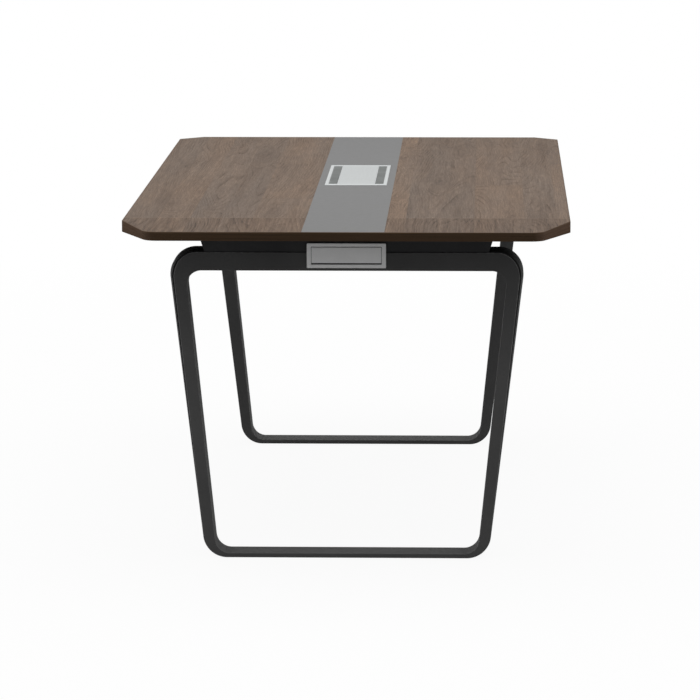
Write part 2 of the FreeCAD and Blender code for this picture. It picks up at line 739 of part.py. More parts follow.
def make_tray():
    """A folded trough with inward lips, carried in two straps that hang from the cross bars."""
    tray = new_body("CableTray")
    section = sketch_on(tray, "XZ_Plane", "TraySection")
    mirrored_outline(section, [
        ("tray_half", TRAY_LOW),
        ("tray_half", TRAY_TOP),
        ("tray_half - tray_lip", TRAY_TOP),
        ("tray_half - tray_lip", f"{TRAY_TOP} - tray_sheet"),
        ("tray_half - tray_sheet", f"{TRAY_TOP} - tray_sheet"),
        ("tray_half - tray_sheet", f"{TRAY_LOW} + tray_sheet"),
    ])
    pad(tray, section, "tray_length", middle=True)
    place(tray, 0, "box_along", 0)
    keep(tray, "cable_tray")

    strap = new_body("TrayStrap")
    bend = sketch_on(strap, "XZ_Plane", "StrapBend")
    outer = "tray_half + strap_thick"
    mirrored_outline(bend, [
        (outer, f"{TRAY_LOW} - strap_thick"),
        (outer, f"{BAR_UNDER} - strap_thick"),
        (f"{outer} + strap_foot", f"{BAR_UNDER} - strap_thick"),
        (f"{outer} + strap_foot", BAR_UNDER),
        ("tray_half", BAR_UNDER),
        ("tray_half", TRAY_LOW),
    ])
    pad(strap, bend, "strap_wide", middle=True)
    holes = sketch_on(strap, "XY_Plane", "StrapHoles", BAR_UNDER)
    circles(holes, "small_bolt_radius + bolt_clear", [(f"{sign} * {STRAP_BOLT}", 0) for sign in BOTH])
    pocket(strap, holes, "strap_thick")
    copies("tray_straps", strap, [(0, f"box_along + {along} * bar_spread", 0, 0) for along in BOTH])
    group("strap_bolts", [
        bolt((f"{across} * {STRAP_BOLT}", f"box_along + {along} * bar_spread", f"{BAR_UNDER} - strap_thick"), UP,
             ("small_head_radius", "small_head_tall"), ("small_bolt_radius", "strap_thick + tube_wall + 5"))
        for across in BOTH for along in BOTH])


# Cable box

SOCKET_TOP = f"({TUB_FLOOR} + socket_tall)"
SOCKETS = [f"socket_first + {i} * socket_pitch" for i in range(3)]
DATA_PORTS = [f"data_first + {i} * data_pitch" for i in range(3)]
TUB_SCREWS = [f"{step} * window_reach * 0.7" for step in BOTH]
TUB_SCREW_Z = f"({TUB_TOP} - 4)"


def make_box_frame():
    """The frame: a flat flange on the strip, and a skirt in the cut-out, whose wide ends hold the hinge rod.

    A ledge at each end carries the free edge of the closed lid.
    """
    frame = new_body("BoxFrame")
    flange = sketch_on(frame, "XY_Plane", "FrameFlange", "top_height")
    rectangle(flange, "-box_width / 2", "-box_length / 2", "box_width / 2", "box_length / 2")
    rectangle(flange, "-window_half", "-window_reach", "window_half", "window_reach")
    pad(frame, flange, "box_proud")
    skirt = sketch_on(frame, "XY_Plane", "FrameSkirt", "top_height")
    half, reach = "(cutout_half - skirt_gap)", "(cutout_reach - skirt_gap)"
    rectangle(skirt, f"-{half}", f"-{reach}", half, reach)
    rectangle(skirt, "-window_half", "-window_reach", "window_half", "window_reach")
    pad(frame, skirt, "skirt_tall", back=True)
    ledges = sketch_on(frame, "XY_Plane", "FrameLedges", f"{BOX_TOP} - lid_thick - tub_gap")
    for end in BOTH:
        rectangle(ledges, "lid_half - ledge_long", f"{end} * (window_reach - ledge_wide)",
                  "lid_half", f"{end} * window_reach")
    pad(frame, ledges, "ledge_thick", back=True)
    bore = sketch_on(frame, "XZ_Plane", "FrameBore")
    circles(bore, "lid_rod_radius + rod_clear", [(LID_AXIS_X, LID_AXIS_Z)])
    pocket(frame, bore, "2 * (lid_rod_reach + 1)", middle=True)
    screw_holes = sketch_on(frame, "YZ_Plane", "FrameScrewHoles")
    circles(screw_holes, "screw_radius + rod_clear", [(y, TUB_SCREW_Z) for y in TUB_SCREWS])
    pocket(frame, screw_holes, "box_width", middle=True)
    place(frame, 0, "box_along", 0)
    keep(frame, "box_frame")


def make_lid():
    """The lid between the brushes, on a rod along its left edge, with bevelled long edges."""
    lid = new_body("BoxLid")
    section = sketch_on(lid, "XZ_Plane", "LidSection")
    mirrored_outline(section, [
        ("lid_half", f"{BOX_TOP} - lid_thick"),
        ("lid_half", f"{BOX_TOP} - lid_bevel"),
        ("lid_half - 2 * lid_bevel", BOX_TOP),
    ])
    pad(lid, section, "2 * (window_reach - lid_gap)", middle=True)
    bore = sketch_on(lid, "XZ_Plane", "LidBore")
    circles(bore, "lid_rod_radius", [(LID_AXIS_X, LID_AXIS_Z)])
    pocket(lid, bore, "2 * window_reach", middle=True)
    place(lid, 0, "box_along", 0)
    keep(lid, "box_lid")
    keep(rod("lid_rod_radius", "2 * lid_rod_reach", LID_AXIS_X, "box_along - lid_rod_reach", LID_AXIS_Z, (0, 1, 0)),
         "lid_rod")


def make_brush(name, side):
    """A strip of bristles held in a slim carrier along the inner side of the frame."""
    brush = new_body(f"Brush{name}")
    section = sketch_on(brush, "XZ_Plane", f"Brush{name}Section")
    high = "(top_height - brush_drop)"
    outline(section, [(f"{side} * ({c[0]})", c[1]) for c in (
        ("window_half - tub_gap", f"{high} - brush_thick"),
        ("window_half - tub_gap", high),
        ("brush_edge", high),
        ("brush_edge", f"{high} - brush_thick / 2"),
        ("window_half - 6", f"{high} - brush_thick / 2"),
        ("window_half - 6", f"{high} - brush_thick"),
    )])
    pad(brush, section, "2 * (window_reach - lid_gap)", middle=True)
    place(brush, 0, "box_along", 0)
    keep(brush, f"brush_{name.lower()}")


def make_tub():
    """A sheet-metal tub under the frame, open at the top, with a cable way in each end wall."""
    tub = new_body("BoxTub")
    plan = sketch_on(tub, "XY_Plane", "TubPlan", TUB_TOP)
    rectangle(plan, f"-{TUB_HALF}", f"-{TUB_REACH}", TUB_HALF, TUB_REACH)
    pad(tub, plan, "tub_tall", back=True)
    inside = sketch_on(tub, "XY_Plane", "TubInside", TUB_TOP)
    half, reach = f"({TUB_HALF} - tub_sheet)", f"({TUB_REACH} - tub_sheet)"
    rectangle(inside, f"-{half}", f"-{reach}", half, reach)
    pocket(tub, inside, "tub_tall - tub_sheet")
    ways = sketch_on(tub, "XZ_Plane", "TubWays")
    rectangle(ways, "-tub_port_half", f"{TUB_FLOOR} + tub_port_sill",
              "tub_port_half", f"{TUB_FLOOR} + tub_port_sill + tub_port_tall")
    pocket(tub, ways, "2 * window_reach", middle=True)
    screw_holes = sketch_on(tub, "YZ_Plane", "TubScrewHoles")
    circles(screw_holes, "screw_radius + rod_clear", [(y, TUB_SCREW_Z) for y in TUB_SCREWS])
    pocket(tub, screw_holes, "box_width", middle=True)
    place(tub, 0, "box_along", 0)
    keep(tub, "box_tub")
    group("tub_screws", [
        bolt((f"{side} * ({TUB_HALF} - tub_sheet)", f"box_along + {y}", TUB_SCREW_Z), (side, 0, 0),
             ("screw_radius * 1.4", "tub_sheet"), ("screw_radius", "tub_sheet + tub_gap + 1.5"))
        for side in BOTH for y in TUB_SCREWS])


def make_sockets():
    """A socket block on the floor of the tub, with three round outlets and three data ports."""
    block = new_body("SocketBlock")
    plan = sketch_on(block, "XY_Plane", "SocketPlan", TUB_FLOOR)
    rectangle(plan, "-socket_half", "-socket_reach", "socket_half", "socket_reach")
    pad(block, plan, "socket_tall")
    wells = sketch_on(block, "XY_Plane", "SocketWells", SOCKET_TOP)
    circles(wells, "socket_radius", [(0, y) for y in SOCKETS])
    pocket(block, wells, "socket_deep")
    bays = sketch_on(block, "XY_Plane", "DataBays", SOCKET_TOP)
    for y in DATA_PORTS:
        rectangle(bays, "-data_half", f"{y} - data_half", "data_half", f"{y} + data_half")
    pocket(block, bays, "data_deep")
    place(block, 0, "box_along", 0)
    keep(block, "socket_block")

    face = new_body("SocketFace")
    disc = sketch_on(face, "XY_Plane", "FaceDisc")
    circles(disc, "socket_radius - tub_gap", [(0, 0)])
    pad(face, disc, "face_thick")
    pins = sketch_on(face, "XY_Plane", "FacePins")
    circles(pins, "pin_hole_radius", [(0, "pin_hole_half"), (0, "-pin_hole_half")])
    pocket(face, pins, "face_thick", back=True)
    copies("socket_faces", face, [(0, f"box_along + {y}", f"{SOCKET_TOP} - socket_deep", 0) for y in SOCKETS])

    port = new_body("DataPort")
    plug = sketch_on(port, "XY_Plane", "DataPlug")
    half = "(data_half - tub_gap)"
    rectangle(plug, f"-{half}", f"-{half}", half, half)
    rectangle(plug, "-data_half * 0.6", "-data_half * 0.45", "data_half * 0.6", "data_half * 0.45")
    pad(port, plug, "data_deep - 1")
    copies("data_ports", port, [(0, f"box_along + {y}", f"{SOCKET_TOP} - data_deep", 0) for y in DATA_PORTS])


def make_cable_box():
    make_box_frame()
    make_lid()
    for name, side in SIDES:
        make_brush(name.capitalize(), side)
    make_tub()
    make_sockets()


# Cable ports in the end beams, each closed by a flap

def make_port(name, side, turn):
    """A plate on the beams' outer face with a window for the flap, and a sleeve through the notch behind it."""
    port = new_body(f"Port{name}")
    plate = sketch_on(port, "XZ_Plane", f"Port{name}Plate")
    rectangle(plate, "-port_half", "port_low", "port_half", "port_high")
    pad(port, plate, "port_proud")
    sleeve = sketch_on(port, "XZ_Plane", f"Port{name}Sleeve")
    rectangle(sleeve, "-sleeve_half", "sleeve_low", "sleeve_half", "sleeve_high")
    pad(port, sleeve, "sleeve_long", back=True)
    window = sketch_on(port, "XZ_Plane", f"Port{name}Window", "port_back")
    rectangle(window, "-port_window_half", "port_window_low", "port_window_half", "port_window_high")
    pocket(port, window, "port_proud", back=True)
    way = sketch_on(port, "XZ_Plane", f"Port{name}Way")
    rectangle(way, "sleeve_wall - sleeve_half", "sleeve_low + sleeve_wall",
              "sleeve_half - sleeve_wall", "sleeve_high - sleeve_wall")
    pocket(port, way, "2 * sleeve_long + 2 * port_proud", middle=True)
    bore = sketch_on(port, "YZ_Plane", f"Port{name}Bore")
    circles(bore, "flap_rod_radius + rod_clear", [(FLAP_AXIS_Y, FLAP_AXIS_Z)])
    pocket(port, bore, "2 * flap_rod_half + 1", middle=True)
    place(port, 0, f"{side} * loop_face", 0, turn)
    keep(port, f"port_{name.lower()}")

    flap = new_body(f"Flap{name}")
    section = sketch_on(flap, "YZ_Plane", f"Flap{name}Section")
    front, back = "(-port_proud)", "(flap_thick - port_proud)"
    outline(section, [
        (back, "flap_low"), (back, "flap_high", "flap_thick * 0.49"),
        (front, "flap_high", "flap_thick * 0.49"), (front, "flap_low"),
    ])
    pad(flap, section, "2 * flap_half", middle=True)
    rod_bore = sketch_on(flap, "YZ_Plane", f"Flap{name}Bore")
    circles(rod_bore, "flap_rod_radius", [(FLAP_AXIS_Y, FLAP_AXIS_Z)])
    pocket(flap, rod_bore, "2 * flap_half + 1", middle=True)
    place(flap, 0, f"{side} * loop_face", 0, turn)
    keep(flap, f"flap_{name.lower()}")
    keep(rod("flap_rod_radius", "2 * flap_rod_half", "-flap_rod_half", f"{side} * (loop_face - {FLAP_AXIS_Y})",
             FLAP_AXIS_Z, (1, 0, 0)), f"flap_rod_{name.lower()}")


def write_parts():
    """Checks every object and piece, then writes one file a node."""
    doc.recompute()
    for thing in doc.Objects:
        if {"Invalid", "Error"} & set(thing.State):
            raise RuntimeError(f"{thing.Name} failed: {thing.State}")
    for node in nodes:
        if node.Shape.isNull() or not node.Shape.isValid():
            raise RuntimeError(f"{node.Label} has no valid shape")
    os.makedirs("parts", exist_ok=True)
    for node in nodes:
        node.Shape.exportStep(f"parts/{node.Label}.step")
        extent = node.Shape.BoundBox
        print(f"{node.Label}: {len(node.Shape.Solids)} solids, {node.Shape.Volume / 1000:.1f} cm3, "
              f"X {extent.XMin:.1f} {extent.XMax:.1f} Y {extent.YMin:.1f} {extent.YMax:.1f} "
              f"Z {extent.ZMin:.1f} {extent.ZMax:.1f}")


make_top()
make_frame()
make_underframe()
make_tray()
make_cable_box()
for end_name, end_side, end_turn in ENDS:
    make_port(end_name.capitalize(), end_side, end_turn)
write_parts()
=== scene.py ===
"""Looks of a rectangular meeting table: surfaces, finishes, floor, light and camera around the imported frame.

The frame has X across the table, Y along it, Z up and its origin on the floor. Shapes are worked out in
millimetres and put into the meshes in metres; finishes count in metres. The table's front end is at -Y.
"""
import math
from functools import reduce

import bmesh
import bpy
import numpy as np
from mathutils import Matrix, Vector


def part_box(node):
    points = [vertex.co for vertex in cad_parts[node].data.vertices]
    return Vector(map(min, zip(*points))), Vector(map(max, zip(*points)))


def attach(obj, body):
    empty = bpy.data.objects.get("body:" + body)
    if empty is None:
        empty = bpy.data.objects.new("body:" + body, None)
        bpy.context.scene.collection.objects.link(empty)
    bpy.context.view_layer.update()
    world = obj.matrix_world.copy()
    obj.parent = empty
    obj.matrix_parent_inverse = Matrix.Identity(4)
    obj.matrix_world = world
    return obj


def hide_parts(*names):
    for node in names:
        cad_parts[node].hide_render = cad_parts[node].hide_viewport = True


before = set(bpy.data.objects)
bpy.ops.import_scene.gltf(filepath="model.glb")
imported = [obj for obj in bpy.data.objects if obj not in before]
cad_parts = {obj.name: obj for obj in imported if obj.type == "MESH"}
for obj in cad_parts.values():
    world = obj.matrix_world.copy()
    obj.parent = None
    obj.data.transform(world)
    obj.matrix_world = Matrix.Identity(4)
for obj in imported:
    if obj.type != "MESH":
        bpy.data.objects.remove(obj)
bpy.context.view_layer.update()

MM = 0.001
CORNER_STEPS = 6
SHARPEST = 0.02
MERGE_UNDER = 1e-6
SMOOTH_UNDER = math.radians(38)
RIM_WEAR = (0.3, 1, 1, 0.3)
ENDS = (("front", -1), ("rear", 1))
SIDES = (("left", -1), ("right", 1))
PLANES = {"flat": (0, 1, 2), "upright": (0, 2, 1), "cross": (1, 2, 0)}


# Shapes

def node_box(name):
    """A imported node's lowest and highest corner, in millimetres."""
    low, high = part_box(name)
    return np.array(low) / MM, np.array(high) / MM


def reaches(name, axis):
    """A node's least and greatest distance from the table's middle along an axis."""
    return sorted(abs(corner[axis]) for corner in node_box(name))


def both_ends(low, high, length):
    """The first and the last stretch of a length between two places."""
    return (low, low + length), (high - length, high)


def unit(steps):
    """Directions of some steps."""
    return steps / np.linalg.norm(steps, axis=1, keepdims=True)


def rounded_loop(corners, radii, inset=0.0, steps=CORNER_STEPS):
    """Points of a closed polygon with rounded corners, drawn in by an inset.

    Each side moves inwards by the inset, so a corner slides along its bisector by inset / sin(half angle).
    Each corner is then an arc: its first radius turns towards its last one in equal angles.
    """
    spots = np.asarray(corners, float)
    back = unit(np.roll(spots, 1, 0) - spots)
    ahead = unit(np.roll(spots, -1, 0) - spots)
    half = np.arccos(np.clip((back * ahead).sum(1), -1, 1)) / 2
    inward = unit(back + ahead)
    radius = np.maximum(np.broadcast_to(radii, half.shape) - inset, SHARPEST)
    moved = spots + inward * (inset / np.sin(half))[:, None]
    centre = moved + inward * (radius / np.sin(half))[:, None]
    reach = (radius / np.tan(half))[:, None]
    first = moved + back * reach - centre
    last = moved + ahead * reach - centre
    turn = (math.pi - 2 * half)[:, None]
    share = np.linspace(0, 1, steps)[None]
    lead = np.sin((1 - share) * turn) / np.sin(turn)
    trail = np.sin(share * turn) / np.sin(turn)
    arc = centre[:, None] + lead[..., None] * first[:, None] + trail[..., None] * last[:, None]
    return arc.reshape(-1, 2)


def rectangle(x0, y0, x1, y1):
    """Corners of a rectangle, in turn from its lowest one."""
    return np.array([(x0, y0), (x1, y0), (x1, y1), (x0, y1)], float)


def outline_of(low, high, plane):
    """The rectangle of a box in a plane."""
    across, up, _ = PLANES[plane]
    return rectangle(low[across], low[up], high[across], high[up])


def mirrored(right_half):
    """Corners of an outline whose left half is like its right half, which is given from below upwards."""
    right = np.asarray(right_half, float)
    return np.concatenate([right, right[::-1] * (-1, 1)])


def quarter_round(edge, steps=4):
    """Inset and drop along a quarter round, from the face, where the inset is the edge, down to the wall."""
    angle = np.linspace(0, math.pi / 2, steps)
    return edge * (1 - np.sin(angle)), edge * (1 - np.cos(angle))


def lift(loops, levels, plane):
    """Rows of outline points in space: flat ones rise along Z, upright ones go along Y, cross ones on X."""
    loops = np.asarray(loops, float)
    points = np.zeros((*loops.shape[:2], 3))
    across, up, along = PLANES[plane]
    points[..., across] = loops[..., 0]
    points[..., up] = loops[..., 1]
    points[..., along] = np.asarray(levels, float)[:, None]
    return points


def skin(points, closed=False, wear=None):
    """Quads over rows of closed loops, each row with its wear.

    The last row joins the first where closed, and otherwise flat caps end it.
    """
    rows, columns = points.shape[:2]
    index = np.arange(rows * columns).reshape(rows, columns)
    ring = np.concatenate([index, index[:, :1]], 1)
    if closed:
        ring = np.concatenate([ring, ring[:1]], 0)
    quads = np.stack([ring[:-1, :-1], ring[1:, :-1], ring[1:, 1:], ring[:-1, 1:]], -1).reshape(-1, 4)
    caps = [] if closed else [index[0], index[-1]]
    worn = np.zeros(rows) if wear is None else np.asarray(wear, float)
    return {"points": points.reshape(-1, 3), "quads": quads, "caps": caps, "wear": np.repeat(worn, columns)}


def joined(shells):
    """Several shells as one."""
    starts = np.cumsum([0] + [len(s["points"]) for s in shells[:-1]])
    return {
        "points": np.concatenate([s["points"] for s in shells]),
        "quads": np.concatenate([s["quads"] + start for s, start in zip(shells, starts)]),
        "caps": [cap + start for s, start in zip(shells, starts) for cap in s["caps"]],
        "wear": np.concatenate([s["wear"] for s in shells]),
    }


def set_down(shell, places, axis=(0, 0, 1)):
    """Copies of a shell made about +Z, turned to an axis and moved to each place."""
    turn = np.array(Vector((0, 0, 1)).rotation_difference(Vector(axis)).to_matrix())
    turned_points = shell["points"] @ turn.T
    return joined([{**shell, "points": turned_points + np.asarray(place, float)} for place in places])


def slab(corners, radii, low, high, edge, plane="flat", steps=CORNER_STEPS):
    """A plate: its outline carried from face to face, drawn in along a quarter round at both of them."""
    inset, drop = quarter_round(edge)
    loops = [rounded_loop(corners, radii, i, steps) for i in (*inset, *inset[::-1])]
    return skin(lift(loops, [*(high - drop), *(low + drop[::-1])], plane), wear=RIM_WEAR * 2)


def prism(corners, radii, low, high, plane):
    """A section with rounded bends carried straight from one level to another."""
    loop = rounded_loop(corners, radii)
    return skin(lift([loop, loop], [low, high], plane))


def folded(right_half, bends, low, high, middle=0.0):
    """A folded sheet: a section that is the same on both sides of its middle, carried along the table."""
    return prism(mirrored(right_half) + (middle, 0), [*bends, *bends[::-1]], low, high, "upright")


def frame_ring(stations, plane):
    """A closed frame: rectangles carried round from station to station and back to the first.

    A station is a rectangle, its corner radius and its level, and may also have an inset and a wear.
    """
    full = [(*station, 0.0, 0.0)[:5] for station in stations]
    loops = [rounded_loop(corners, radius, inset) for corners, radius, _, inset, _ in full]
    return skin(lift(loops, [s[2] for s in full], plane), closed=True, wear=[s[4] for s in full])


def outer_rim(corners, radius, face, wall_side, edge):
    """Stations over an outer edge, from the face to the wall that leaves it towards wall_side, -1 or 1."""
    inset, drop = quarter_round(edge)
    return [(corners, radius, face + wall_side * d, i, w) for i, d, w in zip(inset, drop, RIM_WEAR)]


def inner_rim(corners, radius, face, wall_side, edge):
    """Stations over a window's edge, from its wall, which leaves the face towards wall_side, to the face."""
    rim = outer_rim(corners, radius, face, wall_side, edge)
    return [(c, r, level, -i, w) for c, r, level, i, w in reversed(rim)]


def hexagon_reach(angle):
    """How far a hexagon reaches at an angle, for a hexagon with flats at distance 1."""
    sector = math.pi / 3
    return 1 / np.cos(angle % sector - sector / 2)


def turned(profile, turns=24):
    """A turned piece about +Z: rows of a radius and a height carried round, some with a hexagon's share.

    The radius at an angle is the row's radius, stretched by that share of the way to a hexagon's reach.
    """
    rows = np.array([(*row, 0)[:3] for row in profile], float)
    angle = np.linspace(0, 2 * math.pi, turns, endpoint=False)
    radius = rows[:, :1] * (1 + rows[:, 2:] * (hexagon_reach(angle)[None] - 1))
    height = np.broadcast_to(rows[:, 1:2], radius.shape)
    return skin(np.stack([radius * np.cos(angle), radius * np.sin(angle), height], -1))


def mesh_of(name, shell):
    """A mesh of a shell, doubles merged and faces outwards, with its wear kept as the arris mark."""
    mesh = bpy.data.meshes.new(name)
    faces = shell["quads"].tolist() + [cap.tolist() for cap in shell["caps"]]
    mesh.from_pydata(shell["points"] * MM, [], faces)
    mesh.attributes.new("arris", "FLOAT", "POINT").data.foreach_set("value", shell["wear"].astype(np.float32))
    work = bmesh.new()
    work.from_mesh(mesh)
    bmesh.ops.remove_doubles(work, verts=work.verts, dist=MERGE_UNDER)
    bmesh.ops.recalc_face_normals(work, faces=work.faces)
    work.to_mesh(mesh)
    work.free()
    return mesh


def placed(name, data):
    """A new object in the scene."""
    made = bpy.data.objects.new(name, data)
    bpy.context.scene.collection.objects.link(made)
    return made


def cut_through(mesh, shell):
    """The mesh with a closed shell's space taken out of it."""
    whole, cutter = (placed("way", part) for part in (mesh, mesh_of("way_cutter", shell)))
    way = whole.modifiers.new("way", "BOOLEAN")
    way.object = cutter
    way.solver = "EXACT"
    opened = bpy.data.meshes.new_from_object(whole.evaluated_get(bpy.context.evaluated_depsgraph_get()))
    for piece in (whole, cutter):
        old = piece.data
        bpy.data.objects.remove(piece)
        bpy.data.meshes.remove(old)
    return opened


def mark_faces(mesh):
    """Marks how far each face looks upwards and how far outwards across the table, as parts of its normal."""
    facing, middle = (np.empty(3 * len(mesh.polygons), np.float32) for _ in range(2))
    mesh.polygon_normals.foreach_get("vector", facing)
    mesh.polygons.foreach_get("center", middle)
    # The steel coat reads these marks for its painted shade under the board and the dust and painted light on
    # low tops.
    marks = {"upward": facing[2::3], "outward": facing[0::3] * np.sign(middle[0::3])}
    for name, share in marks.items():
        mesh.attributes.new(name, "FLOAT", "FACE").data.foreach_set("value", np.clip(share, 0, 1))


def put(name, shell, finish, body="table", stands_for=(), way=None):
    """Makes a piece of a shell, less a way through it, that rides on a body and stands for some nodes."""
    mesh = mesh_of(name, shell)
    if way is not None:
        mesh = cut_through(mesh, way)
        mesh.name = name
    mesh.polygons.foreach_set("use_smooth", np.ones(len(mesh.polygons), bool))
    mesh.set_sharp_from_angle(angle=SMOOTH_UNDER)
    mark_faces(mesh)
    mesh.materials.append(FINISHES[finish])
    piece = placed(name, mesh)
    weighted = piece.modifiers.new("even_normals", "WEIGHTED_NORMAL")
    weighted.keep_sharp = True
    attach(piece, body)
    if stands_for:
        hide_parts(*stands_for)


# Finishes

def linear(*levels):
    """A colour in display levels of 0 to 255 as light, by the display curve; one level alone is a grey."""
    share = np.array(levels * 3 if len(levels) == 1 else levels) / 255
    light = np.where(share <= 0.04045, share / 12.92, ((share + 0.055) / 1.055) ** 2.4)
    return (*light.tolist(), 1.0)


def lightened(colour, factor, step=0.0):
    """A colour's light values times a factor, plus a step, and at most 1."""
    return (*[min(1.0, factor * part + step) for part in colour[:3]], 1.0)


class Web:
    """A tree of shader nodes with short ways to add to it; what a node is given is a value or a socket."""

    def __init__(self, tree):
        self.tree = tree

    @classmethod
    def inside(cls, owner):
        """The emptied tree of a material or a world."""
        owner.use_nodes = True
        owner.node_tree.nodes.clear()
        return cls(owner.node_tree)

    def add(self, kind, inputs=(), **settings):
        """The outputs of a new node with its settings; its inputs go by name, identifier or place."""
        made = self.tree.nodes.new(kind)
        for name, setting in settings.items():
            setattr(made, name, setting)
        sockets = {s.identifier: s for s in made.inputs}
        sockets.update({s.name: s for s in reversed(made.inputs) if s.enabled})
        sockets.update(enumerate(made.inputs))
        for name, given in dict(inputs).items():
            if isinstance(given, bpy.types.NodeSocket):
                self.tree.links.new(given, sockets[name])
            else:
                sockets[name].default_value = given
        return made.outputs

    def math(self, operation, *terms, clamp=False):
        """An operation on values."""
        return self.add("ShaderNodeMath", enumerate(terms), operation=operation, use_clamp=clamp)[0]

    def plus(self, *terms, clamp=False):
        return self.math("ADD", *terms, clamp=clamp)

    def times(self, *terms, clamp=False):
        return self.math("MULTIPLY", *terms, clamp=clamp)

    def total(self, *terms):
        """The sum of several values: each term is a socket, a middle that is taken off it and a factor."""
        return reduce(self.plus, [self.times(self.math("SUBTRACT", value, middle), factor)
                                  for value, middle, factor in terms])

    def vector_math(self, operation, *terms):
        """An operation on vectors, axis by axis."""
        return self.add("ShaderNodeVectorMath", enumerate(terms), operation=operation)[0]

    def vector(self, **parts):
        """A vector of its parts along X, Y and Z."""
        return self.add("ShaderNodeCombineXYZ", parts)[0]

    def parts(self, vector):
        """A vector's parts along X, Y and Z."""
        return self.add("ShaderNodeSeparateXYZ", {0: vector})

    def blend(self, share, low, high, how="MIX"):
        """A colour between two others, or the second laid over the first."""
        mixed = self.add("ShaderNodeMix", {"Factor_Float": share, "A_Color": low, "B_Color": high},
                         data_type="RGBA", blend_type=how)
        return next(s for s in mixed if s.identifier == "Result_Color")

    def spread(self, value, low, high, to_low=0.0, to_high=1.0):
        """A value stretched from one range to another and held within it."""
        return self.add("ShaderNodeMapRange", enumerate((value, low, high, to_low, to_high)))[0]

    def ramp(self, value, stops, interpolation="LINEAR"):
        """The outputs of a colour ramp over a value, with stops of a place and a colour."""
        made = self.tree.nodes.new("ShaderNodeValToRGB")
        made.color_ramp.interpolation = interpolation
        marks = made.color_ramp.elements
        while len(marks) < len(stops):
            marks.new(1.0)
        for mark, (place, colour) in zip(marks, stops):
            mark.position = place
            mark.color = colour
        self.tree.links.new(value, made.inputs[0])
        return made.outputs

    def stretched(self, vector, scale, offset=(0, 0, 0)):
        """Coordinates scaled and then moved."""
        return self.add("ShaderNodeMapping", {"Vector": vector, "Scale": scale, "Location": offset})[0]

    def cloud(self, vector, scale=1.0, detail=2.0, roughness=0.5, distortion=0.0):
        """Smooth noise from 0 to 1."""
        return self.add("ShaderNodeTexNoise", {
            "Vector": vector, "Scale": scale, "Detail": detail, "Roughness": roughness,
            "Distortion": distortion,
        })["Fac"]

    def streaks(self, vector, scale, roughness=0.5, offset=(0, 0, 0)):
        """Smooth noise with a scale for each axis."""
        return self.cloud(self.stretched(vector, scale, offset), roughness=roughness)

    def use(self, shared, **inputs):
        """The outputs of a shared group with its own values."""
        return self.add("ShaderNodeGroup", inputs, node_tree=shared)

    def mark(self, name):
        """A mark that the mesh holds."""
        return self.add("ShaderNodeAttribute", attribute_name=name)["Fac"]

    def worn(self, place, amount):
        """The mask of rubbed edges."""
        return self.use(WEAR, Vector=place, Arris=self.mark("arris"), Amount=amount)["Mask"]

    def surface(self, relief, strength, depth, **inputs):
        """Ends a material's tree with a shader over a relief."""
        named = {name.replace("_", " "): given for name, given in inputs.items()}
        bump = self.add("ShaderNodeBump", {"Height": relief, "Strength": strength, "Distance": depth})[0]
        shader = self.add("ShaderNodeBsdfPrincipled", {**named, "Normal": bump})[0]
        self.add("ShaderNodeOutputMaterial", {"Surface": shader})


VECTOR_SOCKETS = ("Vector", "Seed")


def shared_group(name, inputs, outputs, fill):
    """A node group made once: its sockets are named here, and fill builds its inside."""
    tree = bpy.data.node_groups.new(name, "ShaderNodeTree")
    for names, way in ((inputs, "INPUT"), (outputs, "OUTPUT")):
        for socket in names:
            kind = "NodeSocketVector" if socket in VECTOR_SOCKETS else "NodeSocketFloat"
            tree.interface.new_socket(socket, in_out=way, socket_type=kind)
    given = tree.nodes.new("NodeGroupInput").outputs
    wanted = tree.nodes.new("NodeGroupOutput").inputs
    for socket, source in fill(Web(tree), given).items():
        tree.links.new(source, wanted[socket])
    return tree


def drawn_out(web, given):
    """Coordinates squeezed across the grain and drawn out along it, and the same ones moved by the seed."""
    scale = web.vector(X=given["Across"], Y=given["Along"], Z=given["Across"])
    drawn = web.vector_math("MULTIPLY", given["Vector"], scale)
    return drawn, web.vector_math("ADD", drawn, given["Seed"])


def fill_fibre(web, given):
    """Long thin fibres and short dark pores: noise squeezed across the grain and drawn out along it.

    The pores are a little finer than the fibres and much shorter, and only the noise's upper part shows.
    """
    _, seeded = drawn_out(web, given)
    pores = web.cloud(web.stretched(seeded, (1.5, 5.5, 1.5)), detail=1.0)
    return {"Fibre": web.cloud(seeded, detail=4.0, roughness=0.7), "Pore": web.spread(pores, 0.5, 0.66)}


# How fast the growth rings rise across the grain, and the thin lines to each ring
RING_SLOPE = 0.4
LINES_A_RING = 4.2
# Knots: spacing along the grain, cells to a unit, share of empty cells, reach in a cell and lift of the rings
KNOT_SHORT = 1.7
KNOT_CELLS = 1.5
KNOT_EMPTY = 0.5
KNOT_REACH = 0.42
KNOT_LIFT = 0.3


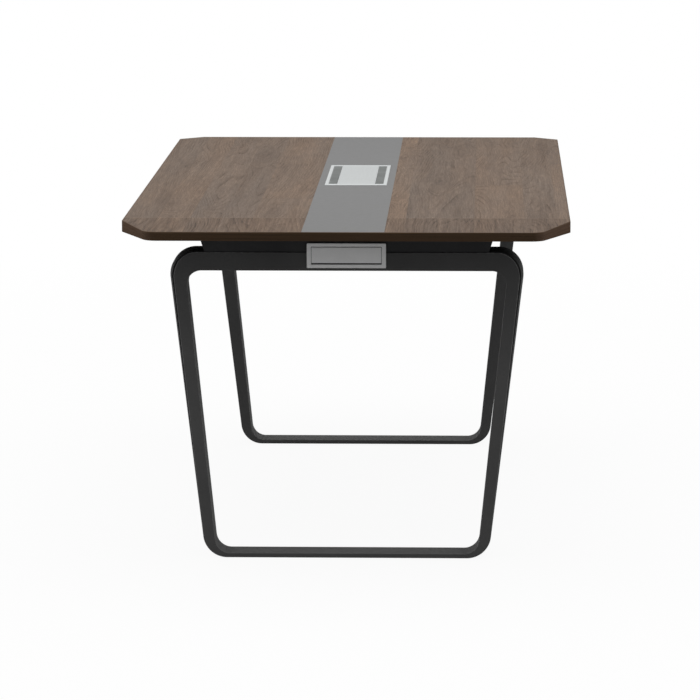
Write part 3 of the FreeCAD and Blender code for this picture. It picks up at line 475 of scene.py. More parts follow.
def fill_figure(web, given):
    """Growth rings cut lengthwise: level lines of a slope across the grain and slow noise, closed at knots.

    Broad rings darken slowly and end sharply; the lines between them are thin and dark, and come and go.

    Cells spread over the board hold the knots, about half of them empty. A knot fades with the square of the
    distance from its middle and lifts the slow noise, so the level lines go round it. The bend is how far
    the fibres are pushed aside there: the distance across the grain from the knot's middle, faded likewise.
    """
    drawn, seeded = drawn_out(web, given)
    slow = web.cloud(seeded, detail=1.5, roughness=0.45, distortion=0.3)
    spaced = web.stretched(drawn, (1.0, KNOT_SHORT, 1.0))
    cells = web.add("ShaderNodeTexVoronoi", {"Vector": spaced, "Scale": KNOT_CELLS}, voronoi_dimensions="2D")
    lot = web.add("ShaderNodeSeparateColor", {0: cells["Color"]})["Red"]
    near = web.spread(cells["Distance"], 0.0, KNOT_REACH, 1.0, 0.0)
    knot = web.times(web.math("POWER", near, 2.0), web.math("GREATER_THAN", lot, KNOT_EMPTY))
    sloping = web.plus(slow, web.times(web.parts(drawn)["X"], RING_SLOPE))
    lifted = web.plus(sloping, web.times(knot, KNOT_LIFT))
    ring = web.math("FRACT", web.times(lifted, given["Rings"]))
    fine = web.math("FRACT", web.times(lifted, web.times(given["Rings"], LINES_A_RING)))
    broken = web.spread(web.streaks(seeded, (7.0, 12.0, 1.0)), 0.36, 0.64)
    aside = web.parts(web.vector_math("SUBTRACT", spaced, cells["Position"]))["X"]
    return {
        "Ring": web.math("POWER", ring, 2.2),
        "Line": web.times(web.math("POWER", fine, 4.0), broken),
        "Knot": knot,
        "Bend": web.math("DIVIDE", web.times(aside, knot), given["Across"]),
    }


def fill_wear(web, given):
    """Rubbed edges: the piece's arris mark, made uneven by noise."""
    patch = web.cloud(given["Vector"], 90.0, 4.0, 0.65)
    rubbed = web.times(web.spread(patch, 0.42, 0.68, 0.35, 1.0), given["Arris"])
    return {"Mask": web.times(rubbed, given["Amount"], clamp=True)}


def fill_dust(web, given):
    """Fine uneven film, as handling and dust leave it: two sizes of soft noise."""
    broad = web.spread(web.cloud(given["Vector"], 7.0, 3.0, 0.6), 0.35, 0.7)
    small = web.spread(web.cloud(given["Vector"], 160.0, 2.0, 0.7), 0.3, 0.75)
    return {"Mask": web.times(web.times(broad, small), given["Amount"], clamp=True)}


def fill_stipple(web, given):
    """Grains of a sprayed or moulded skin: noise at the grain's size, and a slower drift of tone."""
    return {"Height": web.cloud(given["Vector"], given["Scale"], 2.0, 0.55),
            "Drift": web.cloud(given["Vector"], 11.0, 3.0, 0.55)}


def fill_brushed(web, given):
    """Fine parallel scratches along Y: noise squeezed hard across them."""
    drawn = web.stretched(given["Vector"], (1.0, 0.012, 1.0))
    return {"Line": web.cloud(drawn, given["Scale"], 4.0, 0.7)}


GRAIN_INPUTS = ("Vector", "Seed", "Across", "Along")
FIBRE = shared_group("fibre", GRAIN_INPUTS, ("Fibre", "Pore"), fill_fibre)
FIGURE = shared_group("figure", (*GRAIN_INPUTS, "Rings"), ("Ring", "Line", "Knot", "Bend"), fill_figure)
WEAR = shared_group("rubbed_edges", ("Vector", "Arris", "Amount"), ("Mask",), fill_wear)
DUST = shared_group("dust_film", ("Vector", "Amount"), ("Mask",), fill_dust)
STIPPLE = shared_group("stipple", ("Vector", "Scale"), ("Height", "Drift"), fill_stipple)
BRUSHED = shared_group("brushed_lines", ("Vector", "Scale"), ("Line",), fill_brushed)


def new_finish(name):
    """An empty material, its web and its object coordinates."""
    material = bpy.data.materials.new(name)
    web = Web.inside(material)
    return material, web, web.add("ShaderNodeTexCoord")["Object"]


# The part of a noise's range in which most of it lies
MIDDLE = (0.3, 0.7)
# Heights and strengths: painted shade under the board and on the upper part, dust and painted light on low
# tops
SHADE_UNDER_BOARD_HEIGHTS = (0.57, 0.66)
UPPER_SHADE_HEIGHTS = (0.45, 0.68)
NEAR_FLOOR = (0.12, 0.3)
OUTWARD_SHADE_SHARE = 0.2
UPPER_SHADE_SHARE = 0.24
DUST_AND_TOP_LIGHT_SHARES = (0.14, 0.18)


def painted_shade_light_and_dust(web, place, grain, tone):
    """A coat with painted shade where the board shades it: deep close under the board and faint on the upper
    part.

    The painted shade is deepest on faces that look up and slight on those that look outwards. Near the floor,
    faces that look up are lighter: dust lies on them, and light from above is painted on them.
    """
    height = web.parts(place)["Z"]
    upward = web.mark("upward")
    turned_away = web.math("MAXIMUM", web.times(web.mark("outward"), OUTWARD_SHADE_SHARE), upward)
    # painted shade: close under the board, deepest on faces that look up and slight on outward ones
    close = web.times(web.spread(height, *SHADE_UNDER_BOARD_HEIGHTS), turned_away)
    # painted shade: a fainter darkening over the upper part, which the board shades
    faint = web.spread(height, *UPPER_SHADE_HEIGHTS, 0.0, UPPER_SHADE_SHARE)
    deep = web.blend(web.math("MAXIMUM", close, faint), tone, linear(20, 20, 21))
    # lighter tops near the floor: dust, and painted light from above
    dust_and_top_light = web.times(web.spread(height, *NEAR_FLOOR, 1.0, 0.0), web.spread(grain, 0.2, 0.8, *DUST_AND_TOP_LIGHT_SHARES))
    return web.blend(web.times(dust_and_top_light, upward), deep, linear(190, 190, 189))


def sprayed(name, dark, light, roughness, grain, depth, metallic=0.0, specular=0.3, wear=0.5, dust=0.25,
            rubbed_and_highlight_to=None, has_painted_shade_light=False):
    """A coated or moulded skin: stippled, a little uneven in tone and gloss, lighter along rubbed edges."""
    material, web, place = new_finish(name)
    stipple = web.use(STIPPLE, Vector=place, Scale=grain)
    film = web.use(DUST, Vector=place, Amount=dust)["Mask"]
    tone = web.blend(web.spread(stipple["Drift"], *MIDDLE), dark, light)
    # painted shade under the board, and dust with painted light on low tops, for a coat that asks for them
    if has_painted_shade_light:
        tone = painted_shade_light_and_dust(web, place, stipple["Height"], tone)
    # lighter rubbed edges; on the black steel the lighter face arris is also a painted highlight
    rubbed = web.blend(web.worn(place, wear), tone, rubbed_and_highlight_to or lightened(light, 1.9, 0.01))
    dusty = web.blend(film, rubbed, linear(150, 148, 144))
    dull = web.plus(web.times(film, 0.5), roughness)
    varied = web.plus(dull, web.times(stipple["Drift"], 0.08), clamp=True)
    web.surface(stipple["Height"], 0.35, depth, Base_Color=dusty, Roughness=varied, Metallic=metallic,
                Specular_IOR_Level=specular)
    return material


def bright_metal(name, dark, light, roughness, scale):
    """Bare or plated metal: fine parallel lines in tone, gloss and relief."""
    material, web, place = new_finish(name)
    line = web.use(BRUSHED, Vector=place, Scale=scale)["Line"]
    film = web.use(DUST, Vector=place, Amount=0.15)["Mask"]
    tone = web.blend(web.spread(line, *MIDDLE), dark, light)
    rubbed = web.blend(web.worn(place, 0.2), tone, lightened(light, 1.15))
    gloss = web.plus(web.times(line, 0.12), roughness)
    dull = web.plus(gloss, web.times(film, 0.3), clamp=True)
    web.surface(line, 0.12, 0.0003, Base_Color=rubbed, Roughness=dull, Metallic=0.85)
    return material


# Planks of the wood print: left edge in metres, seed, tone, warmth and the end seam's place along the table
UNBROKEN = 2.0
PLANKS = (
    (-0.490, 0.11, 0.50, 0.45, UNBROKEN),
    (-0.414, 0.67, 0.54, 0.68, 0.42),
    (-0.343, 0.31, 0.50, 0.38, UNBROKEN),
    (-0.273, 0.59, 0.47, 0.42, UNBROKEN),
    (-0.207, 0.83, 0.53, 0.66, -0.378),
    (0.000, 0.05, 0.58, 0.80, UNBROKEN),
    (0.127, 0.47, 0.48, 0.38, UNBROKEN),
    (0.277, 0.93, 0.53, 0.66, -0.100),
    (0.385, 0.73, 0.49, 0.50, UNBROKEN),
    (0.454, 0.23, 0.53, 0.60, 0.35),
)
RAMP_START = 0.5
FRONT_SEAM = -0.748
SEAM_REACH = 2.5
SEAM_WIDE = 0.009


def plank_marks(web, place):
    """Each plank's seed, tone and warmth, and masks of the seams and of the part before the front seam.

    A stepped ramp over X holds a plank's seed, tone, warmth and end seam in its four channels. Past its end
    seam, and past the seam near the front end, a plank gets another seed.
    """
    spot = web.parts(place)
    stops = [(left + RAMP_START, (seed, tone, warmth, (seam + SEAM_REACH) / (2 * SEAM_REACH)))
             for left, seed, tone, warmth, seam in PLANKS]
    held = web.ramp(web.plus(spot["X"], RAMP_START), stops, "CONSTANT")
    own = web.add("ShaderNodeSeparateColor", {0: held["Color"]})
    end_seam = web.spread(held["Alpha"], 0.0, 1.0, -SEAM_REACH, SEAM_REACH)
    beyond = web.math("GREATER_THAN", spot["Y"], end_seam)
    before = web.math("LESS_THAN", spot["Y"], FRONT_SEAM)
    seed = web.plus(web.plus(own["Red"], web.times(beyond, 0.37)), web.times(before, 0.53))

    def beside(seam):
        away = web.math("ABSOLUTE", web.math("SUBTRACT", spot["Y"], seam))
        return web.spread(away, 0.0, SEAM_WIDE, 1.0, 0.0)

    return {"seed": seed, "tone": own["Green"], "warmth": own["Blue"], "before": before,
            "line": beside(FRONT_SEAM), "joint": beside(end_seam)}


# Tones of the wood print from its darkest late wood to its lightest early wood
WOOD_TONES = ((0.0, (65, 51, 41)), (0.38, (103, 88, 76)), (0.62, (119, 103, 90)), (1.0, (145, 127, 111)))
WARM = (1.07, 0.995, 0.92, 1.0)
COOL = (0.95, 1.0, 1.06, 1.0)
BACKING_LEVEL = 0.7262
SEED_STEP = 61.0
WANDER = 0.022
KNOT_PUSH = -0.85


def wood_finish(name):
    """Wood print in planks: fibres that wander a little along the table, growth rings, knots and pores.

    Tone and warmth are each a plank's own value plus noise: fine fibres, streaks as wide as a finger and
    broad patches. The print across the front end is darker and its streaks are stronger. The board's
    underside has a dark backing sheet.
    """
    material, web, place = new_finish(name)
    plank = plank_marks(web, place)
    far = web.times(plank["seed"], SEED_STEP)
    seed = web.vector(X=far, Y=far, Z=far)
    wave = web.streaks(place, (6.0, 2.2, 1.0))
    grain = web.vector_math("ADD", place, web.vector(X=web.total((wave, 0.5, WANDER))))
    figure = web.use(FIGURE, Vector=grain, Seed=seed, Across=5.5, Along=0.48, Rings=11.0)
    bent = web.vector_math("ADD", grain, web.vector(X=web.times(figure["Bend"], KNOT_PUSH)))
    fibre = web.use(FIBRE, Vector=bent, Seed=seed, Across=360.0, Along=13.0)
    moved = web.vector_math("ADD", bent, seed)
    streak = web.streaks(moved, (55.0, 1.2, 1.0))
    thin = web.streaks(moved, (190.0, 3.0, 1.0), 0.6)
    patch = web.streaks(moved, (9.0, 1.6, 1.0))
    hue = web.streaks(moved, (15.0, 1.2, 1.0), offset=(3.0, 5.0, 0.0))
    strong = web.plus(web.times(plank["before"], 0.7), 0.2)
    tone = web.total(
        (plank["tone"], 0.0, 1.0), (fibre["Fibre"], 0.5, 1.35), (streak, 0.5, 0.3), (thin, 0.5, strong),
        (patch, 0.5, 0.25), (figure["Ring"], 0.35, -0.06), (figure["Line"], 0.1, -0.4),
        (figure["Knot"], 0.0, -0.1), (plank["before"], 0.0, -0.13), (plank["joint"], 0.0, -0.06),
        (plank["line"], 0.0, 0.13))
    toned = web.ramp(tone, [(level, linear(*colour)) for level, colour in WOOD_TONES])["Color"]
    warmth = web.total((plank["warmth"], 0.0, 1.0), (hue, 0.5, 1.3), (plank["before"], 0.0, 0.25))
    tinted = web.blend(1.0, toned, web.blend(web.spread(warmth, 0.0, 1.0), COOL, WARM), "MULTIPLY")
    pores = web.blend(web.times(fibre["Pore"], 0.28), tinted, linear(66, 52, 43))
    film = web.use(DUST, Vector=place, Amount=0.08)["Mask"]
    dusty = web.blend(film, pores, linear(150, 144, 138))
    backing = web.blend(web.spread(fibre["Fibre"], *MIDDLE), linear(46, 44, 43), linear(54, 52, 50))
    faced = web.blend(web.math("GREATER_THAN", web.parts(place)["Z"], BACKING_LEVEL), backing, dusty)
    rough = web.plus(web.spread(fibre["Fibre"], *MIDDLE, 0.62, 0.74), film, clamp=True)
    relief = web.math("SUBTRACT", fibre["Fibre"], fibre["Pore"])
    web.surface(relief, 0.15, 0.0004, Base_Color=faced, Roughness=rough, Specular_IOR_Level=0.08)
    return material


PRINT_EDGE = 0.7494
PRINT_FADE = 0.0003
# Distances across the table over which the band's sides are painted lighter, as side light falls there
SIDE_LIGHT_REACH = (0.405, 0.425)


def band_finish(name):
    """Dark brown edge band with a straight printed grain along the edge; the wood print laps over its top."""
    material, web, place = new_finish(name)
    along_edge = web.stretched(place, (0.014, 1.0, 1.0))
    fibre = web.use(FIBRE, Vector=along_edge, Seed=(3.0, 7.0, 1.0), Across=330.0, Along=9.0)["Fibre"]
    spot = web.parts(place)
    # painted light: the long sides and corner cuts are lighter, where light from the sides falls
    side_light_share = web.spread(web.math("ABSOLUTE", spot["X"]), *SIDE_LIGHT_REACH)
    stripe = web.spread(fibre, *MIDDLE)
    at_ends = web.blend(stripe, linear(57, 44, 32), linear(87, 68, 51))
    sides_painted_lighter = web.blend(stripe, linear(90, 71, 57), linear(109, 88, 73))
    rubbed = web.blend(web.worn(place, 0.3), web.blend(side_light_share, at_ends, sides_painted_lighter), linear(112, 93, 78))
    lapped = web.spread(spot["Z"], PRINT_EDGE - PRINT_FADE, PRINT_EDGE)
    print_tone = web.blend(stripe, linear(96, 81, 70), linear(118, 102, 90))
    web.surface(fibre, 0.15, 0.0003, Base_Color=web.blend(lapped, rubbed, print_tone),
                Roughness=web.spread(fibre, *MIDDLE, 0.78, 0.88), Specular_IOR_Level=0.02)
    return material


SPRAYED = {
    "grey_laminate": dict(dark=linear(122), light=linear(124), roughness=0.65, grain=1500, depth=0.0002,
                          specular=0.08, wear=0.3, dust=0.1),
    # black steel: painted shade under the board, and dust with painted light on low tops
    "black_steel": dict(dark=linear(78), light=linear(84), roughness=0.7, grain=900, depth=0.0004,
                        # its light rub colour on the loops' face arris is wear and a painted highlight
                        specular=0.08, wear=1.0, dust=0.05, rubbed_and_highlight_to=linear(140), has_painted_shade_light=True),
    # the risers' coat: a darker copy of the black steel, painted shade for the board's shadow
    "shaded_riser_black": dict(dark=linear(54, 54, 55), light=linear(60, 60, 61), roughness=0.6, grain=900,
                        depth=0.0004, specular=0.03, wear=0.4, dust=0.05),
    "bristle": dict(dark=linear(164, 166, 165), light=linear(180, 182, 181), roughness=0.7, grain=2500,
                    depth=0.0001, specular=0.1, wear=0.0, dust=0.1),
    "galvanised": dict(dark=linear(84, 86, 88), light=linear(98, 100, 102), roughness=0.42, grain=260,
                       depth=0.0002, metallic=0.35, specular=0.4, wear=0.4, dust=0.2),
    "socket_black": dict(dark=linear(34, 34, 35), light=linear(42, 42, 43), roughness=0.48, grain=1400,
                         depth=0.0003),
    "socket_white": dict(dark=linear(214, 214, 210), light=linear(224, 224, 220), roughness=0.35, grain=1400,
                         depth=0.0001, wear=0.2),
    "grey_plastic": dict(dark=linear(230), light=linear(238), roughness=0.5, grain=1200, depth=0.0002,
                         specular=0.15, wear=0.3, dust=0.1),
    # black plastic, also on the port sleeves as painted shade behind the flaps
    "black_plastic": dict(dark=linear(26, 26, 27), light=linear(33, 33, 34), roughness=0.5, grain=1100,
                          depth=0.0003),
}
BRIGHT = {
    "zinc_steel": dict(dark=linear(150, 151, 150), light=linear(176, 177, 176), roughness=0.34, scale=700),
    "anodised_frame": dict(dark=linear(186, 189, 189), light=linear(196, 199, 199), roughness=0.45,
                           scale=900),
    "anodised": dict(dark=linear(174, 177, 177), light=linear(184, 187, 187), roughness=0.45, scale=900),
}
FINISHES = {
    "wood_laminate": wood_finish("wood_laminate"),
    "edge_band": band_finish("edge_band"),
    **{name: sprayed(name, **look) for name, look in SPRAYED.items()},
    **{name: bright_metal(name, **look) for name, look in BRIGHT.items()},
}


# Board edge and centre strip

BOARD_LOW, BOARD_TOP = (corner[2] for corner in node_box("tabletop"))
HALF_WIDTH, HALF_LENGTH, _ = node_box("edge_band")[1]
FRONT_CUT = (65, 203)
REAR_CUT = (58, 54)
CUT_ROUND = 34
POINT_ROUND = 1.5
BOARD_ROUNDS = [CUT_ROUND, *[POINT_ROUND] * 6, CUT_ROUND]
BOARD_STEPS = 10
END_SETBACK = 46
LAND = 3
SLOPE_ROWS = 6
BAND_THICK = 2
BAND_EDGE = 0.9
BAND_WEAR = (0.4, 1, 1, 0.4)
STRIP_ROUND = 0.3
STRIP_EASE = 0.35
CUTOUT_ROUND = 1.0


def board_corners(setback):
    """The board's outline with its ends set back: long cuts at the front corners, short ones at the rear."""
    return mirrored([
        (HALF_WIDTH - FRONT_CUT[0], setback - HALF_LENGTH),
        (HALF_WIDTH, FRONT_CUT[1] - HALF_LENGTH),
        (HALF_WIDTH, HALF_LENGTH - REAR_CUT[1] - setback),
        (HALF_WIDTH - REAR_CUT[0], HALF_LENGTH - setback),
    ])


def edge_band():
    """The band's section carried round the board.

    Rows run from the inner top edge over a small round to the land, down the slope where the outline goes
    over from the top one to the drawn-back one of the underside in proportion to height, and up the inner
    wall.
    """
    edge = list(zip(*quarter_round(BAND_EDGE), BAND_WEAR))
    land_low = BOARD_TOP - LAND
    rows = [
        (BAND_THICK, BOARD_TOP, 0.0),
        *[(i, BOARD_TOP - d, w) for i, d, w in edge],
        *[(0.0, z, 0.0) for z in np.linspace(land_low, BOARD_LOW + BAND_EDGE, SLOPE_ROWS)],
        *[(i, BOARD_LOW + d, w) for i, d, w in reversed(edge)],
        (BAND_THICK, BOARD_LOW, 0.0),
        (BAND_THICK, land_low, 0.0),
    ]
    loops = []
    for drawn_in, level, _ in rows:
        share = np.clip((land_low - level) / (land_low - BOARD_LOW), 0, 1)
        top, under = (rounded_loop(board_corners(setback), BOARD_ROUNDS, drawn_in, BOARD_STEPS)
                      for setback in (0, END_SETBACK))
        loops.append((1 - share) * top + share * under)
    return skin(lift(loops, [r[1] for r in rows], "flat"), closed=True, wear=[r[2] for r in rows])


def centre_strip():
    """The strip's flat ring between its own outline and the cut-out for the cable box, with eased edges."""
    low, high = node_box("centre_strip")
    outer = outline_of(low, high, "flat")
    inner = rectangle(*CUTOUT)
    return frame_ring([
        *outer_rim(outer, STRIP_ROUND, high[2], -1, STRIP_EASE),
        (outer, STRIP_ROUND, low[2]),
        (inner, CUTOUT_ROUND, low[2]),
        *inner_rim(inner, CUTOUT_ROUND, high[2], -1, STRIP_EASE),
    ], "flat")


# Loop legs

LOOP_TOP = 681
LOOP_BASE = 0.8
RAIL_TALL = 44.8
BAR_THICK = 9.7
OUTER_LOOP = mirrored([(310, LOOP_BASE), (391.6, LOOP_TOP)])
OUTER_ROUNDS = [53, 54, 54, 53]
INNER_LOOP = mirrored([(287.5, LOOP_BASE + BAR_THICK), (351.4, LOOP_TOP - RAIL_TALL)])
INNER_ROUNDS = [34, 32, 32, 34]
LOOP_STEPS = 24
TOP_FLARE = 4.4
SIDE_FLARE = 9.6
FLARE_DEEP = 20
FLARE_HEIGHTS = (538, 638)
GROOVE_SHARE = 0.38
GROOVE_DEEP = 9
LIP_EASE = 0.03
LIP_BACK = 2.5
ARRIS = 1.5
BACK_EDGE = 1.6
INNER_EDGE = 1.2
# Least step from row to row, so that the groove's rows stay apart where the flare ends
HAIR = 0.1
# The face arris mark is wear and also a painted highlight along the loops' face edge
FACE_WEAR_AND_HIGHLIGHT = (0, 1, 1, 0)
GROOVE_WEAR = (0, 0, 0, 0)
BACK_WEAR = (0, 0.15, 0.15, 0)
WINDOW_WEAR = (0, 0.04, 0.06, 0.04, 0)


def loop_leg(face, back):
    """A closed loop of tube, from its outward face over its outer wall, its back and its inner wall.

    The outer wall flares over the rail and the upper corners: at the face its outline is drawn in, more at
    the sides than on top and by a share that rises with height, and further in it has its full size. A narrow
    groove, which deepens by the same share, parts the face from the flare. Every edge is a small round.
    """
    outer = rounded_loop(OUTER_LOOP, OUTER_ROUNDS, 0.0, LOOP_STEPS)
    inward = rounded_loop(OUTER_LOOP, OUTER_ROUNDS, 1.0, LOOP_STEPS) - outer
    start, full = FLARE_HEIGHTS
    rise = np.clip((outer[:, 1] - start) / (full - start), 0, 1)
    flare = rise * (TOP_FLARE + (SIDE_FLARE - TOP_FLARE) * np.abs(inward[:, 0]))
    inside = np.sign(back - face)

    def row(flat, level):
        return np.stack([flat[:, 0], np.broadcast_to(level, len(flat)), flat[:, 1]], -1)

    def outer_row(inset, level):
        return row(outer + inward * np.broadcast_to(inset, rise.shape)[:, None], level)

    def groove_row(share, hairs, deep):
        return outer_row(flare * share, face + inside * (ARRIS + hairs * HAIR + deep * rise))

    def window_row(inset, level):
        return row(rounded_loop(INNER_LOOP, INNER_ROUNDS, -inset, LOOP_STEPS), level)

    face_round, back_round, window_round = (
        list(zip(*quarter_round(edge, len(wear))))
        for edge, wear in ((ARRIS, FACE_WEAR_AND_HIGHLIGHT), (BACK_EDGE, BACK_WEAR), (INNER_EDGE, WINDOW_WEAR)))
    points = np.stack([
        *[outer_row(flare + i, face + inside * d) for i, d in face_round],
        groove_row(1, 1, GROOVE_DEEP),
        groove_row(1 - GROOVE_SHARE, 2, GROOVE_DEEP),
        groove_row(1 - GROOVE_SHARE - LIP_EASE, 3, LIP_BACK),
        groove_row(0, 5, FLARE_DEEP),
        *[outer_row(i, back - inside * d) for i, d in reversed(back_round)],
        *[window_row(i, back - inside * d) for i, d in window_round],
        *[window_row(i, face + inside * d) for i, d in reversed(window_round)],
    ])
    return skin(points, closed=True, wear=FACE_WEAR_AND_HIGHLIGHT + GROOVE_WEAR + BACK_WEAR + WINDOW_WEAR * 2)


RISER_FOOT_HALF = 310.7
RISER_LEAN = 0.325
WEDGE_CLEAR = 0.6
WEDGE_SHARE = 0.9


def riser_lip(node, side):
    """The wedge between a riser's foot and the flared top of the loop, its ends slanted like the riser's."""
    front = side * reaches(node, 1)[1]
    foot = node_box(node)[0][2]
    tip = LOOP_TOP - TOP_FLARE + WEDGE_CLEAR
    section = [(tip, front), (foot, front), (foot, front - side * WEDGE_SHARE * FLARE_DEEP)]
    rows = [[(x * (RISER_FOOT_HALF - RISER_LEAN * (foot - z)), y, z) for z, y in section] for x in (-1, 1)]
    return skin(np.array(rows, float))


# Cable box

FRAME_LOW, FRAME_HIGH = node_box("box_frame")
LID_LOW, LID_HIGH = node_box("box_lid")
CUTOUT_HALF = 66
CUTOUT_BACK = 6
WINDOW_HALF = 64
WINDOW_BACK = 24
CUTOUT = (-CUTOUT_HALF, FRAME_LOW[1] + CUTOUT_BACK, CUTOUT_HALF, FRAME_HIGH[1] - CUTOUT_BACK)
WINDOW = (-WINDOW_HALF, FRAME_LOW[1] + WINDOW_BACK, WINDOW_HALF, FRAME_HIGH[1] - WINDOW_BACK)
END_STEP = 5.5
SIDE_STEP = 0.05
MOUTH = (WINDOW[0] - SIDE_STEP, WINDOW[1] - END_STEP, WINDOW[2] + SIDE_STEP, WINDOW[3] + END_STEP)
STEP_UNDER_LID = 0.4
STEP_LEVEL = LID_LOW[2] - STEP_UNDER_LID
FLANGE_ROUND = 1.2
FLANGE_EDGE = 0.9
FLANGE_GAP = 0.05
SKIRT_ROUND = 0.8
SKIRT_GAP = 0.3
MOUTH_ROUND = 0.6
MOUTH_EDGE = 0.5
LEDGE_LONG = 6
LEDGE_WIDE = 34
LEDGE_THICK = 3
LEDGE_PROUD = 0.1
LEDGE_ROUND = 0.8
LEDGE_EDGE = 0.4


def box_frame():
    """The frame's flange and skirt as one ring: over the flange's edge, down the skirt and up the window.

    The window steps out at its ends to carry the ends of the lid, and a small ledge stands in from each end.
    """
    flange = outline_of(FRAME_LOW, FRAME_HIGH, "flat")
    skirt = rectangle(*(np.array(CUTOUT) + np.array([1, 1, -1, -1]) * SKIRT_GAP))
    window = rectangle(*WINDOW)
    mouth = rectangle(*MOUTH)
    ring = frame_ring([
        *outer_rim(flange, FLANGE_ROUND, FRAME_HIGH[2], -1, FLANGE_EDGE),
        (flange, FLANGE_ROUND, BOARD_TOP + FLANGE_GAP),
        (skirt, SKIRT_ROUND, BOARD_TOP + FLANGE_GAP),
        (skirt, SKIRT_ROUND, FRAME_LOW[2]),
        (window, MOUTH_ROUND, FRAME_LOW[2]),
        (window, MOUTH_ROUND, STEP_LEVEL),
        (mouth, MOUTH_ROUND, STEP_LEVEL),
        *inner_rim(mouth, MOUTH_ROUND, FRAME_HIGH[2], -1, MOUTH_EDGE),
    ], "flat")
    x0, x1 = LID_HIGH[0] - LEDGE_WIDE, LID_HIGH[0]
    top = STEP_LEVEL + LEDGE_PROUD
    ledges = [slab(rectangle(x0, y0, x1, y1), LEDGE_ROUND, top - LEDGE_THICK, top, LEDGE_EDGE)
              for y0, y1 in both_ends(WINDOW[1], WINDOW[3], LEDGE_LONG)]
    return joined([ring, *ledges])


POCKET_BESIDE = 0.8
POCKET_UNDER = 8
POCKET_DEEP = 2.2
POCKET_ABOVE = 1
POCKET_WALL = 0.3
POCKET_INTO = 2
POCKET_ROUND = 0.5
POCKET_EDGE = 0.3


def heel_pockets():
    """Spaces in the steps at the frame's ends, into which the lid's hinge edge swings down."""
    x0, x1 = LID_LOW[0] - POCKET_BESIDE, LID_LOW[0] + POCKET_UNDER
    low, high = STEP_LEVEL - POCKET_DEEP, STEP_LEVEL + POCKET_ABOVE
    near = (MOUTH[1] + POCKET_WALL, WINDOW[1] + POCKET_INTO)
    far = (WINDOW[3] - POCKET_INTO, MOUTH[3] - POCKET_WALL)
    return joined([slab(rectangle(x0, y0, x1, y1), POCKET_ROUND, low, high, POCKET_EDGE)
                   for y0, y1 in (near, far)])


LID_BEVEL = 1.5
LID_ROUNDS = (0.5, 0.5, 0.9, 0.9, 0.5, 0.5)
LID_EASE = 0.4


def box_lid():
    """The lid's section, with bevelled long edges, carried along the table and eased at its ends."""
    section = mirrored([
        (LID_HIGH[0], LID_LOW[2]),
        (LID_HIGH[0], LID_HIGH[2] - LID_BEVEL),
        (LID_HIGH[0] - 2 * LID_BEVEL, LID_HIGH[2]),
    ])
    return slab(section, LID_ROUNDS, LID_LOW[1] - END_STEP, LID_HIGH[1] + END_STEP, LID_EASE, "upright")


BRISTLE_PITCH = 0.62
BRISTLE_RADIUS = 0.3
BRISTLE_TIP = 45.2
BRISTLE_TOP = FRAME_HIGH[2] - 0.7
BRISTLE_SIDES = 3
BRISTLE_TAPER = 0.3
BRISTLE_DROOP = 0.06
BRISTLE_ROOT = 0.8
# Ranges in which single bristles stray: along the row, up and down, in length, and at the tip along the row
STRAY_ALONG = (-0.2, 0.2)
STRAY_UP = (-0.1, 0.05)
STRAY_SHORT = (0, 0.7)
STRAY_TIP = (-0.6, 0.6)
BRUSH_SEEDS = {-1: 7, 1: 11}
END_MARGIN = 0.6
CARRIER_DEEP = 5.7
CARRIER_UNDER = 0.3
BED_SHORT = 0.1
BED_UNDER = 0.4
BED_ABOVE_STEP = 0.3
BRUSH_ROUND = 0.4
BRUSH_EDGE = 0.3
BRUSH_STEPS = 4


def brush(node, side):
    """A row of bristles that lie on a bed in a slim carrier.

    A bristle is a three-sided tapering rod: its centre runs straight out of the carrier and droops with the
    square of the distance, and small seeded offsets set it apart from its neighbours.
    """
    low, high = node_box(node)
    wall = reaches(node, 0)[1]
    near, far = low[1] - END_STEP, high[1] + END_STEP

    def strip(inner, base, top, y0, y1):
        x0, x1 = sorted((side * inner, side * wall))
        return slab(rectangle(x0, base, x1, top), BRUSH_ROUND, y0, y1, BRUSH_EDGE, "upright", BRUSH_STEPS)

    carrier = strip(wall - CARRIER_DEEP, low[2], BRISTLE_TOP - CARRIER_UNDER, low[1], high[1])
    bed = strip(BRISTLE_TIP + BED_SHORT, STEP_LEVEL + BED_ABOVE_STEP, BRISTLE_TOP - BED_UNDER, near, far)
    draws = np.random.default_rng(BRUSH_SEEDS[side])
    y = np.arange(near + END_MARGIN, far - END_MARGIN, BRISTLE_PITCH)
    y = y + draws.uniform(*STRAY_ALONG, y.shape)
    z = BRISTLE_TOP - BRISTLE_RADIUS + draws.uniform(*STRAY_UP, y.shape)
    reach = BRISTLE_TIP + draws.uniform(*STRAY_SHORT, y.shape)
    sway = draws.uniform(*STRAY_TIP, y.shape)
    share = np.array([0.0, 0.5, 1.0])
    spoke = np.linspace(0, 2 * math.pi, BRISTLE_SIDES, endpoint=False)
    thick = BRISTLE_RADIUS * (1 - BRISTLE_TAPER * share)[:, None]
    root = wall - BRISTLE_ROOT
    x = side * (root + (reach - root)[:, None] * share)
    centre_y = y[:, None] + sway[:, None] * share**2
    centre_z = z[:, None] - BRISTLE_DROOP * share**2
    points = np.stack([
        np.broadcast_to(x[..., None], (*x.shape, BRISTLE_SIDES)),
        centre_y[..., None] + thick * np.cos(spoke),
        centre_z[..., None] + thick * np.sin(spoke),
    ], -1)
    return joined([carrier, bed, *[skin(bristle) for bristle in points]])


# Cable ports and flaps

PORT_LOW, PORT_HIGH = node_box("port_front")
PORT_BACK = 763.3
PLATE_ROUND = 1.6
PLATE_EDGE = 0.8
WINDOW_ROUND = 0.8
WINDOW_EDGE = 0.5
SEAT_DEEP = 5
COLLAR_GAP = 0.05
SLEEVE_WALL = 2
SLEEVE_ROUND = 1.5
SLEEVE_INNER_ROUND = 1.0
HINGE_ROUND = 1.9
FLAP_ROUND = 0.6
FLAP_EASE = 0.5


